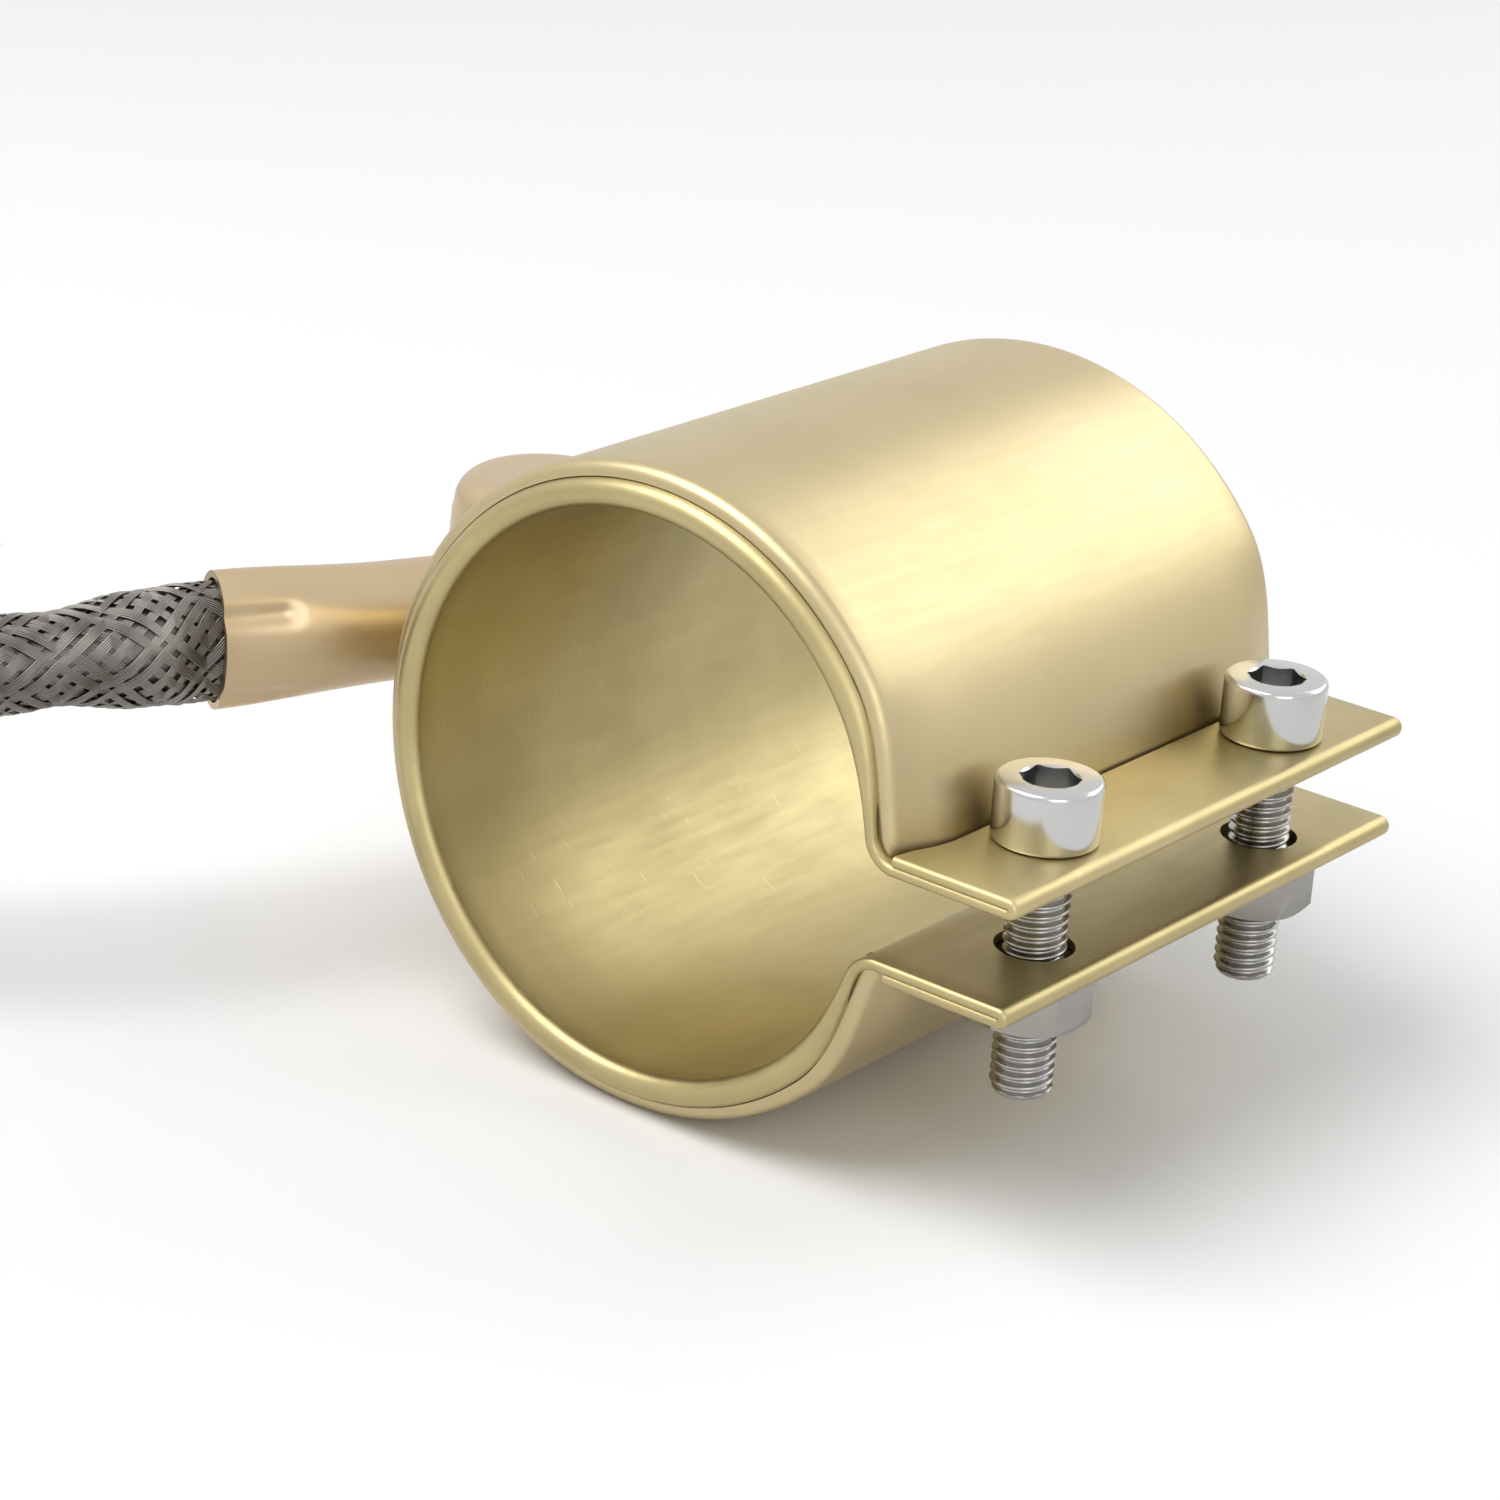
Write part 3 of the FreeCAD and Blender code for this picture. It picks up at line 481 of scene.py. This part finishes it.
def make_skin():
    """Brass cover over the heating stack, curled in behind the noses, squeezed at the flange roots."""
    mid = OUTER_RADIUS - GAUGE / 2
    first = math.asin((flange_level(1) + GAUGE / 2 + FIT_PLAY) / mid)
    last = 2 * math.pi - math.asin((flange_level(-1) + GAUGE / 2 + FIT_PLAY) / mid)
    columns, rows = 260, 6 + 34 + 6
    curl = SKIN_CURL - GAUGE / 2
    roll_y = SKIN_EDGE - SKIN_CURL
    foot = mid - curl - BORE_RADIUS - NOSE_HEIGHT - FIT_PLAY

    def place(column, row):
        angle = mix(first, last, column / columns)
        mirrored = row > rows / 2
        step = rows - row if mirrored else row
        if step == 0:
            y, drop = roll_y + curl, curl + max(foot, 0)
        elif step <= 5:
            turn = math.pi / 2 * (step - 1) / 4
            y, drop = roll_y + curl * math.cos(turn), curl * (1 - math.sin(turn))
        else:
            y, drop = roll_y * (1 - (step - 5) / (rows / 2 - 5)), 0.0
        spot = Vector((mid * math.cos(angle), 0, mid * math.sin(angle)))
        near_edge = ease((y - roll_y + 6.0) / 7.0)
        radius = mid - drop - 1.9 * pinch_at(spot) * near_edge
        return (radius * math.cos(angle), y if mirrored else -y, radius * math.sin(angle))

    skin = sheet_blank("brass_skin", columns, rows, place)
    window_low, window_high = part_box("terminal_block")
    select_only(skin)
    bpy.ops.object.mode_set(mode="EDIT")
    bpy.ops.mesh.select_all(action="DESELECT")
    bpy.ops.object.mode_set(mode="OBJECT")
    for face in skin.data.polygons:
        centre = face.center
        inside = window_low.y < centre.y < window_high.y and window_low.z < centre.z < window_high.z
        face.select = centre.x < 0 and inside
    bpy.ops.object.mode_set(mode="EDIT")
    bpy.ops.mesh.select_mode(type="FACE")
    bpy.ops.mesh.delete(type="FACE")
    bpy.ops.object.mode_set(mode="OBJECT")
    thicken(skin, GAUGE)
    return skin


skin = make_skin()
for piece in (sheath, skin):
    smooth(piece, 50)
finish_piece(sheath, "heater", brass_bore, "brass", "inner_sheath")
finish_piece(skin, "heater", brass_skin, "brass", "outer_skin")


# ---- terminal hood ----
def make_hood():
    """Drawn brass hood: flared flanks and round nose, rounded over at top and bottom, seated on the skin."""
    flare = math.radians(18)
    half_height, edge, draft = 14.0, 3.0, math.tan(math.radians(3))
    seat = OUTER_RADIUS + FIT_PLAY
    nose_steps, flank_steps = 40, 16
    columns = nose_steps + 2 * flank_steps
    wall_steps, edge_steps, top_steps = 24, 8, 6
    rows = 2 * (top_steps + edge_steps) + wall_steps

    def height_and_inset(row):
        """Height from the hood's middle, how far in from the wall, and how far towards the spine."""
        if row > rows / 2:
            height, inset, spine = height_and_inset(rows - row)
            return -height, inset, spine
        inset_top = draft * half_height
        if row <= top_steps:
            return half_height, inset_top + edge, 1 - row / top_steps
        if row <= top_steps + edge_steps:
            turn = math.pi / 2 * (row - top_steps) / edge_steps
            return half_height - edge * (1 - math.cos(turn)), inset_top + edge * (1 - math.sin(turn)), 0.0
        down = (row - top_steps - edge_steps) / (wall_steps / 2)
        height = (half_height - edge) * (1 - down)
        return height, draft * height, 0.0

    def place(column, row):
        height, inset, spine = height_and_inset(row)
        radius = (HOOD_NOSE - inset) * (1 - spine)
        side = 1 if column <= columns / 2 else -1
        step = column if side > 0 else columns - column
        z = OUTLET_HEIGHT + height
        base_x = -math.sqrt(seat**2 - z**2)
        tangent_x = HOOD_CENTRE.x - radius * math.sin(flare)
        if step < flank_steps:
            share = step / flank_steps
            x = mix(base_x, tangent_x, share)
            y = radius * math.cos(flare) + (x - tangent_x) * math.tan(flare) * (1 - spine)
            return (x, side * y, z)
        turn = (step - flank_steps) / (nose_steps / 2)
        angle = mix(math.pi / 2 + flare, math.pi, turn)
        return (HOOD_CENTRE.x + radius * math.cos(angle), side * radius * math.sin(angle), z)

    hood = sheet_blank("terminal_cover", columns, rows, place)
    edit_whole_mesh(hood, lambda: bpy.ops.mesh.remove_doubles(threshold=1e-5))
    return hood


hood = make_hood()
thicken(hood, HOOD_GAUGE, -1)
smooth(hood, 50)
finish_piece(hood, "heater", brass_drawn, "brass", "terminal_hood")


# ---- outlet tube ----
def tube_half_sizes(distance):
    """Half height and half width of the tube's outside at a distance from its root."""
    squeeze = ease((distance - 6) / (TUBE_LENGTH - 6))
    return mix(6.1, 7.3, squeeze), mix(6.1, 4.1, squeeze)


def make_tube():
    """Outlet tube, squeezed flat at its mouth, with the plier marks of the squeeze."""
    columns, rows = 96, 60
    sideways = OUTLET_WAY.cross(UP)

    def place(column, row):
        angle = 2 * math.pi * column / columns
        distance = mix(-1.5, TUBE_LENGTH, row / rows)
        tall, wide = tube_half_sizes(distance)
        across, height = math.cos(angle) * wide, math.sin(angle) * tall
        if across < 0:
            near_mouth = ease((distance - TUBE_LENGTH + 8.5) / 2.2)
            crease = math.exp(-((height - 3.4) / 0.9) ** 2) + math.exp(-((height + 5.2) / 0.8) ** 2)
            across += 0.5 * near_mouth * crease
        spot = TUBE_ROOT + OUTLET_WAY * distance + sideways * across
        spot.z += height
        return spot

    return sheet_blank("outlet_pipe", columns, rows, place, closed=True)


tube = make_tube()
thicken(tube, TUBE_GAUGE, -1)
smooth(tube, 50)
finish_piece(tube, "heater", brass_drawn, "brass", "outlet_tube")


# ---- screws and nuts ----
def make_screw(name, y):
    """Socket cap screw: chamfered head with a hexagon recess and a rolled thread."""
    head_middle = FLANGE_TOP + HEAD_HEIGHT / 2
    deselect()
    bpy.ops.mesh.primitive_cylinder_add(vertices=96, radius=HEAD_RADIUS * MM, depth=HEAD_HEIGHT * MM,
                                        location=(SCREW_LINE * MM, y * MM, head_middle * MM))
    head = bpy.context.object
    bpy.ops.object.transform_apply(location=True)
    bevel = head.modifiers.new("edge break", "BEVEL")
    bevel.width = 0.5 * MM
    bevel.segments = 4
    bevel.angle_limit = math.radians(60)
    apply_modifiers(head)
    bpy.ops.mesh.primitive_cylinder_add(vertices=6, radius=SOCKET_FLATS / math.sqrt(3) * MM,
                                        depth=2 * SOCKET_DEPTH * MM,
                                        location=(SCREW_LINE * MM, y * MM, (FLANGE_TOP + HEAD_HEIGHT) * MM))
    recess = bpy.context.object
    bpy.ops.object.transform_apply(location=True)
    bpy.ops.mesh.primitive_cone_add(vertices=96, radius1=0.0, radius2=3.2 * MM, depth=1.85 * MM,
                                    location=(SCREW_LINE * MM, y * MM, (FLANGE_TOP + 6.25 - 0.925) * MM))
    mouth = bpy.context.object
    bpy.ops.object.transform_apply(location=True)
    for tool in (recess, mouth):
        cutting = head.modifiers.new("recess", "BOOLEAN")
        cutting.object = tool
        cutting.solver = "EXACT"
        apply_modifiers(head)
        bpy.data.objects.remove(tool)
    head.name = name + "_head"
    pitch, major, depth, length = 1.0, 2.98, 0.58, 25.0
    around, along = 48, 320

    def place(column, row):
        angle = 2 * math.pi * column / around
        drop = length * row / along
        turn = (drop / pitch + column / around) % 1.0
        flank = abs(turn - 0.5) * 2
        groove = ease((flank - 0.12) / 0.76)
        cut = depth * groove * ease((drop - 0.6) / 0.8)
        end = 0.7 * max(0, drop - length + 0.7)
        radius = min(major - cut, major - end)
        return (SCREW_LINE + radius * math.cos(angle), y + radius * math.sin(angle), FLANGE_TOP - drop)

    shank = sheet_blank(name + "_thread", around, along, place, closed=True)
    select_only(shank)
    bpy.ops.object.mode_set(mode="EDIT")
    bpy.ops.mesh.select_all(action="DESELECT")
    bpy.ops.mesh.select_mode(type="EDGE")
    bpy.ops.mesh.select_non_manifold()
    bpy.ops.mesh.edge_face_add()
    bpy.ops.mesh.select_all(action="SELECT")
    bpy.ops.mesh.normals_make_consistent(inside=False)
    bpy.ops.object.mode_set(mode="OBJECT")
    return head, shank


def make_nut(name, y):
    """Hexagon nut with turned chamfers and softened edges."""
    corner = NUT_FLATS / math.sqrt(3)
    centre = (SCREW_LINE * MM, y * MM, (FLANGE_BASE - NUT_HEIGHT / 2) * MM)
    deselect()
    bpy.ops.mesh.primitive_cylinder_add(vertices=6, radius=corner * MM, depth=NUT_HEIGHT * MM,
                                        location=centre)
    nut = bpy.context.object
    nut.name = name
    bpy.ops.object.transform_apply(location=True)
    bpy.ops.mesh.primitive_cylinder_add(vertices=96, radius=(corner + 0.02) * MM, depth=NUT_HEIGHT * MM,
                                        location=centre)
    turned = bpy.context.object
    bpy.ops.object.transform_apply(location=True)
    chamfer = turned.modifiers.new("chamfer", "BEVEL")
    chamfer.width = 0.85 * MM
    chamfer.segments = 1
    chamfer.angle_limit = math.radians(60)
    apply_modifiers(turned)
    for vertex in turned.data.vertices:
        above = vertex.co.z - centre[2]
        if abs(above) <= 2.4 * MM:
            vertex.co.z = centre[2] + math.copysign(NUT_HEIGHT / 2 * MM - 0.45 * MM, above)
    shaping = nut.modifiers.new("turned ends", "BOOLEAN")
    shaping.operation = "INTERSECT"
    shaping.object = turned
    shaping.solver = "EXACT"
    apply_modifiers(nut)
    bpy.data.objects.remove(turned)
    bpy.ops.mesh.primitive_cylinder_add(vertices=64, radius=3.05 * MM, depth=8 * MM, location=centre)
    drill = bpy.context.object
    bpy.ops.object.transform_apply(location=True)
    boring = nut.modifiers.new("bore", "BOOLEAN")
    boring.object = drill
    boring.solver = "EXACT"
    apply_modifiers(nut)
    bpy.data.objects.remove(drill)
    soft = nut.modifiers.new("edge break", "BEVEL")
    soft.width = 0.12 * MM
    soft.segments = 2
    soft.angle_limit = math.radians(25)
    apply_modifiers(nut)
    return nut


for end, y in (("front", -SCREW_STATION), ("rear", SCREW_STATION)):
    head, shank = make_screw(f"{end}_screw", y)
    smooth(head, 30)
    smooth(shank, 60)
    finish_piece(head, f"{end}_screw", screw_steel, "zinc_screw", f"clamp_screw_{end}")
    finish_piece(shank, f"{end}_screw", thread_steel, "zinc_screw")
    nut = make_nut(f"{end}_nut_hexagon", y)
    smooth(nut, 20)
    finish_piece(nut, f"{end}_nut", nut_steel, "zinc_nut", f"clamp_nut_{end}")

# ---- lead ----
BRAID_ROUTE = [
    TUBE_MOUTH,
    TUBE_MOUTH + OUTLET_WAY * 26,
    Vector((-84.0, -73.4, -4.9)),
    Vector((-108.1, -79.6, -12.5)),
    Vector((-132.3, -74.7, -20.5)),
    Vector((-153.2, -60.1, -24.9)),
    Vector((-165.9, -39.7, -26.2)),
    Vector((-169.7, -18.0, -26.2)),
]
LEAD_TAILS = {
    "upper": [Vector((-169.9, -5.0, -27.2)), Vector((-166.9, 7.4, -29.9)), Vector((-163.2, 17.6, -29.9))],
    "lower": [Vector((-172.6, -5.2, -29.6)), Vector((-177.8, 6.6, -29.9)), Vector((-181.6, 16.8, -29.9))],
}
BRAID_RADIUS = 5.0
BRAID_ENTRY = 12
BRAID_STEP = 0.6
LEAD_RADIUS = 1.5
PAIR_SPREAD = {"upper": UP * 2.2, "lower": UP * -2.2}


def spline_curve(name, points, radius=0.0):
    """A smooth free line through a route given in millimetres, as a curve object."""
    data = bpy.data.curves.new(name, "CURVE")
    data.dimensions = "3D"
    data.resolution_u = 24
    data.bevel_depth = radius * MM
    data.bevel_resolution = 5
    data.use_fill_caps = True
    spline = data.splines.new("NURBS")
    spline.points.add(len(points) - 1)
    for slot, point in zip(spline.points, points):
        slot.co = (*(point * MM), 1)
    spline.order_u = 3
    spline.use_endpoint_u = True
    piece = bpy.data.objects.new(name, data)
    bpy.context.scene.collection.objects.link(piece)
    return piece


def line_points(name, points):
    """Points along the smooth line of a route, in millimetres."""
    guide = spline_curve(name, points)
    bpy.context.view_layer.update()
    mesh = bpy.data.meshes.new_from_object(guide)
    line = [vertex.co / MM for vertex in mesh.vertices]
    bpy.data.meshes.remove(mesh)
    bpy.data.objects.remove(guide)
    return line


def resample(line, step):
    """Evenly spaced points and their distances along a line."""
    points, reach = [line[0].copy()], 0.0
    travelled = 0.0
    for a, b in zip(line, line[1:]):
        length = (b - a).length
        while reach + step <= travelled + length:
            reach += step
            points.append(a.lerp(b, (reach - travelled) / length))
        travelled += length
    return points, travelled


inner_run = [TUBE_MOUTH - OUTLET_WAY * (BRAID_ENTRY - BRAID_STEP * k) for k in range(20)]
free_line, braid_length = resample(line_points("braid_guide", BRAID_ROUTE), BRAID_STEP)
braid_line = inner_run + free_line
MOUTH_INDEX = len(inner_run)


def braid_half_sizes(distance):
    """Half height and half width of the braid at a distance past the tube's mouth."""
    tall, wide = 6.3, 3.2
    if distance < 0:
        inner = ease(-distance / BRAID_ENTRY)
        return mix(tall, 5.0, inner), mix(wide, 4.6, inner)
    swell = ease(distance / 6.5)
    settle = ease((distance - 6.5) / 9)
    return mix(mix(tall, 6.2, swell), BRAID_RADIUS, settle), mix(mix(wide, 6.0, swell), BRAID_RADIUS, settle)


def line_frames(line):
    """Sideways and upward directions at each point of a line."""
    frames = []
    for index, point in enumerate(line):
        before, after = line[max(index - 1, 0)], line[min(index + 1, len(line) - 1)]
        way = (after - before).normalized()
        sideways = way.cross(UP).normalized()
        frames.append((sideways, sideways.cross(way).normalized()))
    return frames


braid_frames = line_frames(braid_line)


def on_braid(index, angle, lift):
    """A point on the braid's surface, lifted off it."""
    tall, wide = braid_half_sizes((index - MOUTH_INDEX) * BRAID_STEP)
    sideways, upward = braid_frames[index]
    across = sideways * ((wide + lift) * math.cos(angle))
    return braid_line[index] + across + upward * ((tall + lift) * math.sin(angle))


def make_braid_layer(name, hand, carriers=16, wires=5, lay=40.0):
    """All strands that wind one way: flat bundles of wires that pass over and under the other way's."""
    random.seed(7 + hand)
    wire = 0.105
    verts, faces = [], []
    count = len(braid_line)
    for carrier in range(carriers):
        for k in range(wires):
            stray = random.uniform(-0.012, 0.012)
            base = len(verts)
            for index in range(count):
                distance = index * BRAID_STEP
                tall, wide = braid_half_sizes((index - MOUTH_INDEX) * BRAID_STEP)
                mean = (tall + wide) / 2
                turn = distance / lay
                wobble = 0.05 * noise.noise(Vector((distance * 0.12, carrier * 3.1, hand * 9.0)))
                angle = hand * 2 * math.pi * (turn + carrier / carriers) + wobble
                crossings = 2 * carriers * turn + carrier
                weave = math.sin(math.pi / 2 * (crossings + (0.5 if hand > 0 else -1.5)))
                spread = (k - (wires - 1) / 2) * 0.205 * 1.35
                angle += (spread + stray) / mean
                lift = -0.24 + 0.2 * weave - 0.01 * abs(k - (wires - 1) / 2)
                centre = on_braid(index, angle, lift)
                outward = (centre - braid_line[index]).normalized()
                before = on_braid(max(index - 1, 0), angle - hand * 2 * math.pi * BRAID_STEP / lay, lift)
                way = (centre - before).normalized() if index else OUTLET_WAY
                across = way.cross(outward).normalized()
                for corner in range(4):
                    a = math.pi / 2 * corner + math.pi / 4
                    thick, broad = outward * (wire * math.sin(a)), across * (wire * 1.15 * math.cos(a))
                    verts.append((centre + thick + broad) * MM)
                if index:
                    now, last = base + 4 * index, base + 4 * (index - 1)
                    for corner in range(4):
                        after = (corner + 1) % 4
                        faces.append((last + corner, last + after, now + after, now + corner))
            end = base + 4 * (count - 1)
            faces.append((base + 3, base + 2, base + 1, base))
            faces.append((end, end + 1, end + 2, end + 3))
    mesh = bpy.data.meshes.new(name)
    mesh.from_pydata(verts, [], faces)
    layer = bpy.data.objects.new(name, mesh)
    bpy.context.scene.collection.objects.link(layer)
    edit_whole_mesh(layer)
    bpy.ops.object.shade_smooth()
    return layer


def make_braid_shade_sheet():
    """A dark sheet just under the strands, seen between them: its darker colour is painted shade for the
    inside of the braid.
    """
    around, count = 40, len(braid_line)

    def place(column, row):
        angle = 2 * math.pi * column / around
        return on_braid(row, angle, -0.62)

    core = sheet_blank("braid_painted_shade_face", around, count - 1, place, closed=True)
    thicken(core, 0.12, -1)
    return core


braid_shade_sheet = make_braid_shade_sheet()
smooth(braid_shade_sheet, 60)
finish_piece(braid_shade_sheet, "heater", braid_painted_shade, "steel_braid", "braided_sleeve")
for name, hand in (("braid_strands_right", 1), ("braid_strands_left", -1)):
    layer = make_braid_layer(name, hand)
    finish_piece(layer, "heater", braid_steel, "steel_braid")

leads = []
for key, offset in PAIR_SPREAD.items():
    start = TUBE_ROOT + OUTLET_WAY * 8
    route = [start + offset] + [point + offset for point in BRAID_ROUTE[1:]] + LEAD_TAILS[key]
    lead = spline_curve(f"lead_{key}", route, LEAD_RADIUS)
    finish_piece(lead, "heater", sleeving, "glass_sleeving", f"lead_wire_{key}")
    leads.append((key, lead, route))


def length_of(points):
    line = line_points("measure_guide", points)
    return sum((b - a).length for a, b in zip(line, line[1:]))


for key, lead, route in leads:
    length_of(route) * MM

# ---- carried-over pieces ----
CARRIED = {
    "inner_mica": mica, "winding_former": mica, "outer_mica": mica, "resistance_ribbon": ribbon_alloy,
    "terminal_block": ceramic, "braid_end_ferrule": nickel,
    "terminal_pin_upper": nickel, "terminal_pin_lower": nickel,
    "pin_crimp_upper": nickel, "pin_crimp_lower": nickel,
    "lead_tip_upper": nickel, "lead_tip_lower": nickel,
}
for node, material in CARRIED.items():
    dress(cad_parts[node], material)
    smooth(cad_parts[node], 30)


# ---- camera, floor and light ----
def place_camera():
    stand = Vector((228.35, -309.92, 149.56)) * MM
    turn, tilt, roll = math.radians(37.71), math.radians(21.82), math.radians(3.90)
    level = math.cos(tilt)
    ahead = Vector((-math.sin(turn) * level, math.cos(turn) * level, -math.sin(tilt)))
    right = Vector((math.cos(turn), math.sin(turn), 0))
    upward = right.cross(ahead)
    image_right = right * math.cos(roll) + upward * math.sin(roll)
    image_up = upward * math.cos(roll) - right * math.sin(roll)
    data = bpy.data.cameras.new("view")
    data.sensor_width = 36
    data.lens = 100.85
    camera = bpy.data.objects.new("view", data)
    bpy.context.scene.collection.objects.link(camera)
    turned = Matrix((image_right, image_up, -ahead)).transposed().to_4x4()
    camera.matrix_world = Matrix.Translation(stand) @ turned
    bpy.context.scene.camera = camera


def add_light(name, place, target, size, power):
    data = bpy.data.lights.new(name, "AREA")
    data.shape = "RECTANGLE"
    data.size, data.size_y = size
    data.energy = power
    lamp = bpy.data.objects.new(name, data)
    bpy.context.scene.collection.objects.link(lamp)
    ahead = (Vector(target) - Vector(place)).normalized()
    lamp.matrix_world = Matrix.Translation(place) @ ahead.to_track_quat("-Z", "Y").to_matrix().to_4x4()


def white_to_camera(nodes, links, lit):
    """White to camera, transmission and glossy rays, the lit shader to all others."""
    rays = nodes.new("ShaderNodeLightPath").outputs
    seen = math_node(nodes, links, "MAXIMUM", rays["Is Camera Ray"], rays["Is Transmission Ray"])
    seen = math_node(nodes, links, "MAXIMUM", seen, rays["Is Glossy Ray"])
    glow = nodes.new("ShaderNodeEmission")
    glow.inputs["Strength"].default_value = 1.0
    blend = nodes.new("ShaderNodeMixShader")
    links.new(seen, blend.inputs["Fac"])
    links.new(lit, blend.inputs[1])
    links.new(glow.outputs["Emission"], blend.inputs[2])
    return blend.outputs["Shader"]


def make_world():
    world = bpy.data.worlds.new("studio")
    bpy.context.scene.world = world
    world.use_nodes = True
    nodes, links = world.node_tree.nodes, world.node_tree.links
    studio = nodes["Background"]
    where = nodes.new("ShaderNodeTexCoord")
    height = nodes.new("ShaderNodeSeparateXYZ")
    links.new(where.outputs["Generated"], height.inputs["Vector"])
    ramp = nodes.new("ShaderNodeValToRGB")
    ramp.color_ramp.elements[0].position = 0.0
    ramp.color_ramp.elements[0].color = (0.30, 0.29, 0.28, 1)
    ramp.color_ramp.elements[1].position = 1.0
    ramp.color_ramp.elements[1].color = (0.85, 0.86, 0.88, 1)
    links.new(height.outputs["Z"], ramp.inputs["Fac"])
    links.new(ramp.outputs["Color"], studio.inputs["Color"])
    studio.inputs["Strength"].default_value = 0.7
    shown = white_to_camera(nodes, links, studio.outputs["Background"])
    links.new(shown, nodes["World Output"].inputs["Surface"])


def make_floor():
    deselect()
    low = cad_box[0][2]
    bpy.ops.mesh.primitive_plane_add(size=6, location=(0, 0, low - 0.0002))
    floor = bpy.context.object
    floor.name = "floor"
    material = bpy.data.materials.new("pale_floor")
    material.use_nodes = True
    shader = material.node_tree.nodes["Principled BSDF"]
    shader.inputs["Base Color"].default_value = (0.92, 0.92, 0.92, 1)
    shader.inputs["Roughness"].default_value = 0.9
    dress(floor, material)


place_camera()
make_world()
make_floor()
add_light("key", (-0.25, -0.35, 0.75), (0, 0, 0), (0.7, 0.5), 5.0)
add_light("fill", (0.7, -0.5, 0.35), (0, 0, 0), (0.5, 0.6), 1.5)
add_light("back", (0.2, 0.8, 0.55), (0, 0, 0), (0.9, 0.4), 2.5)
bpy.context.scene.view_settings.view_transform = "Standard"
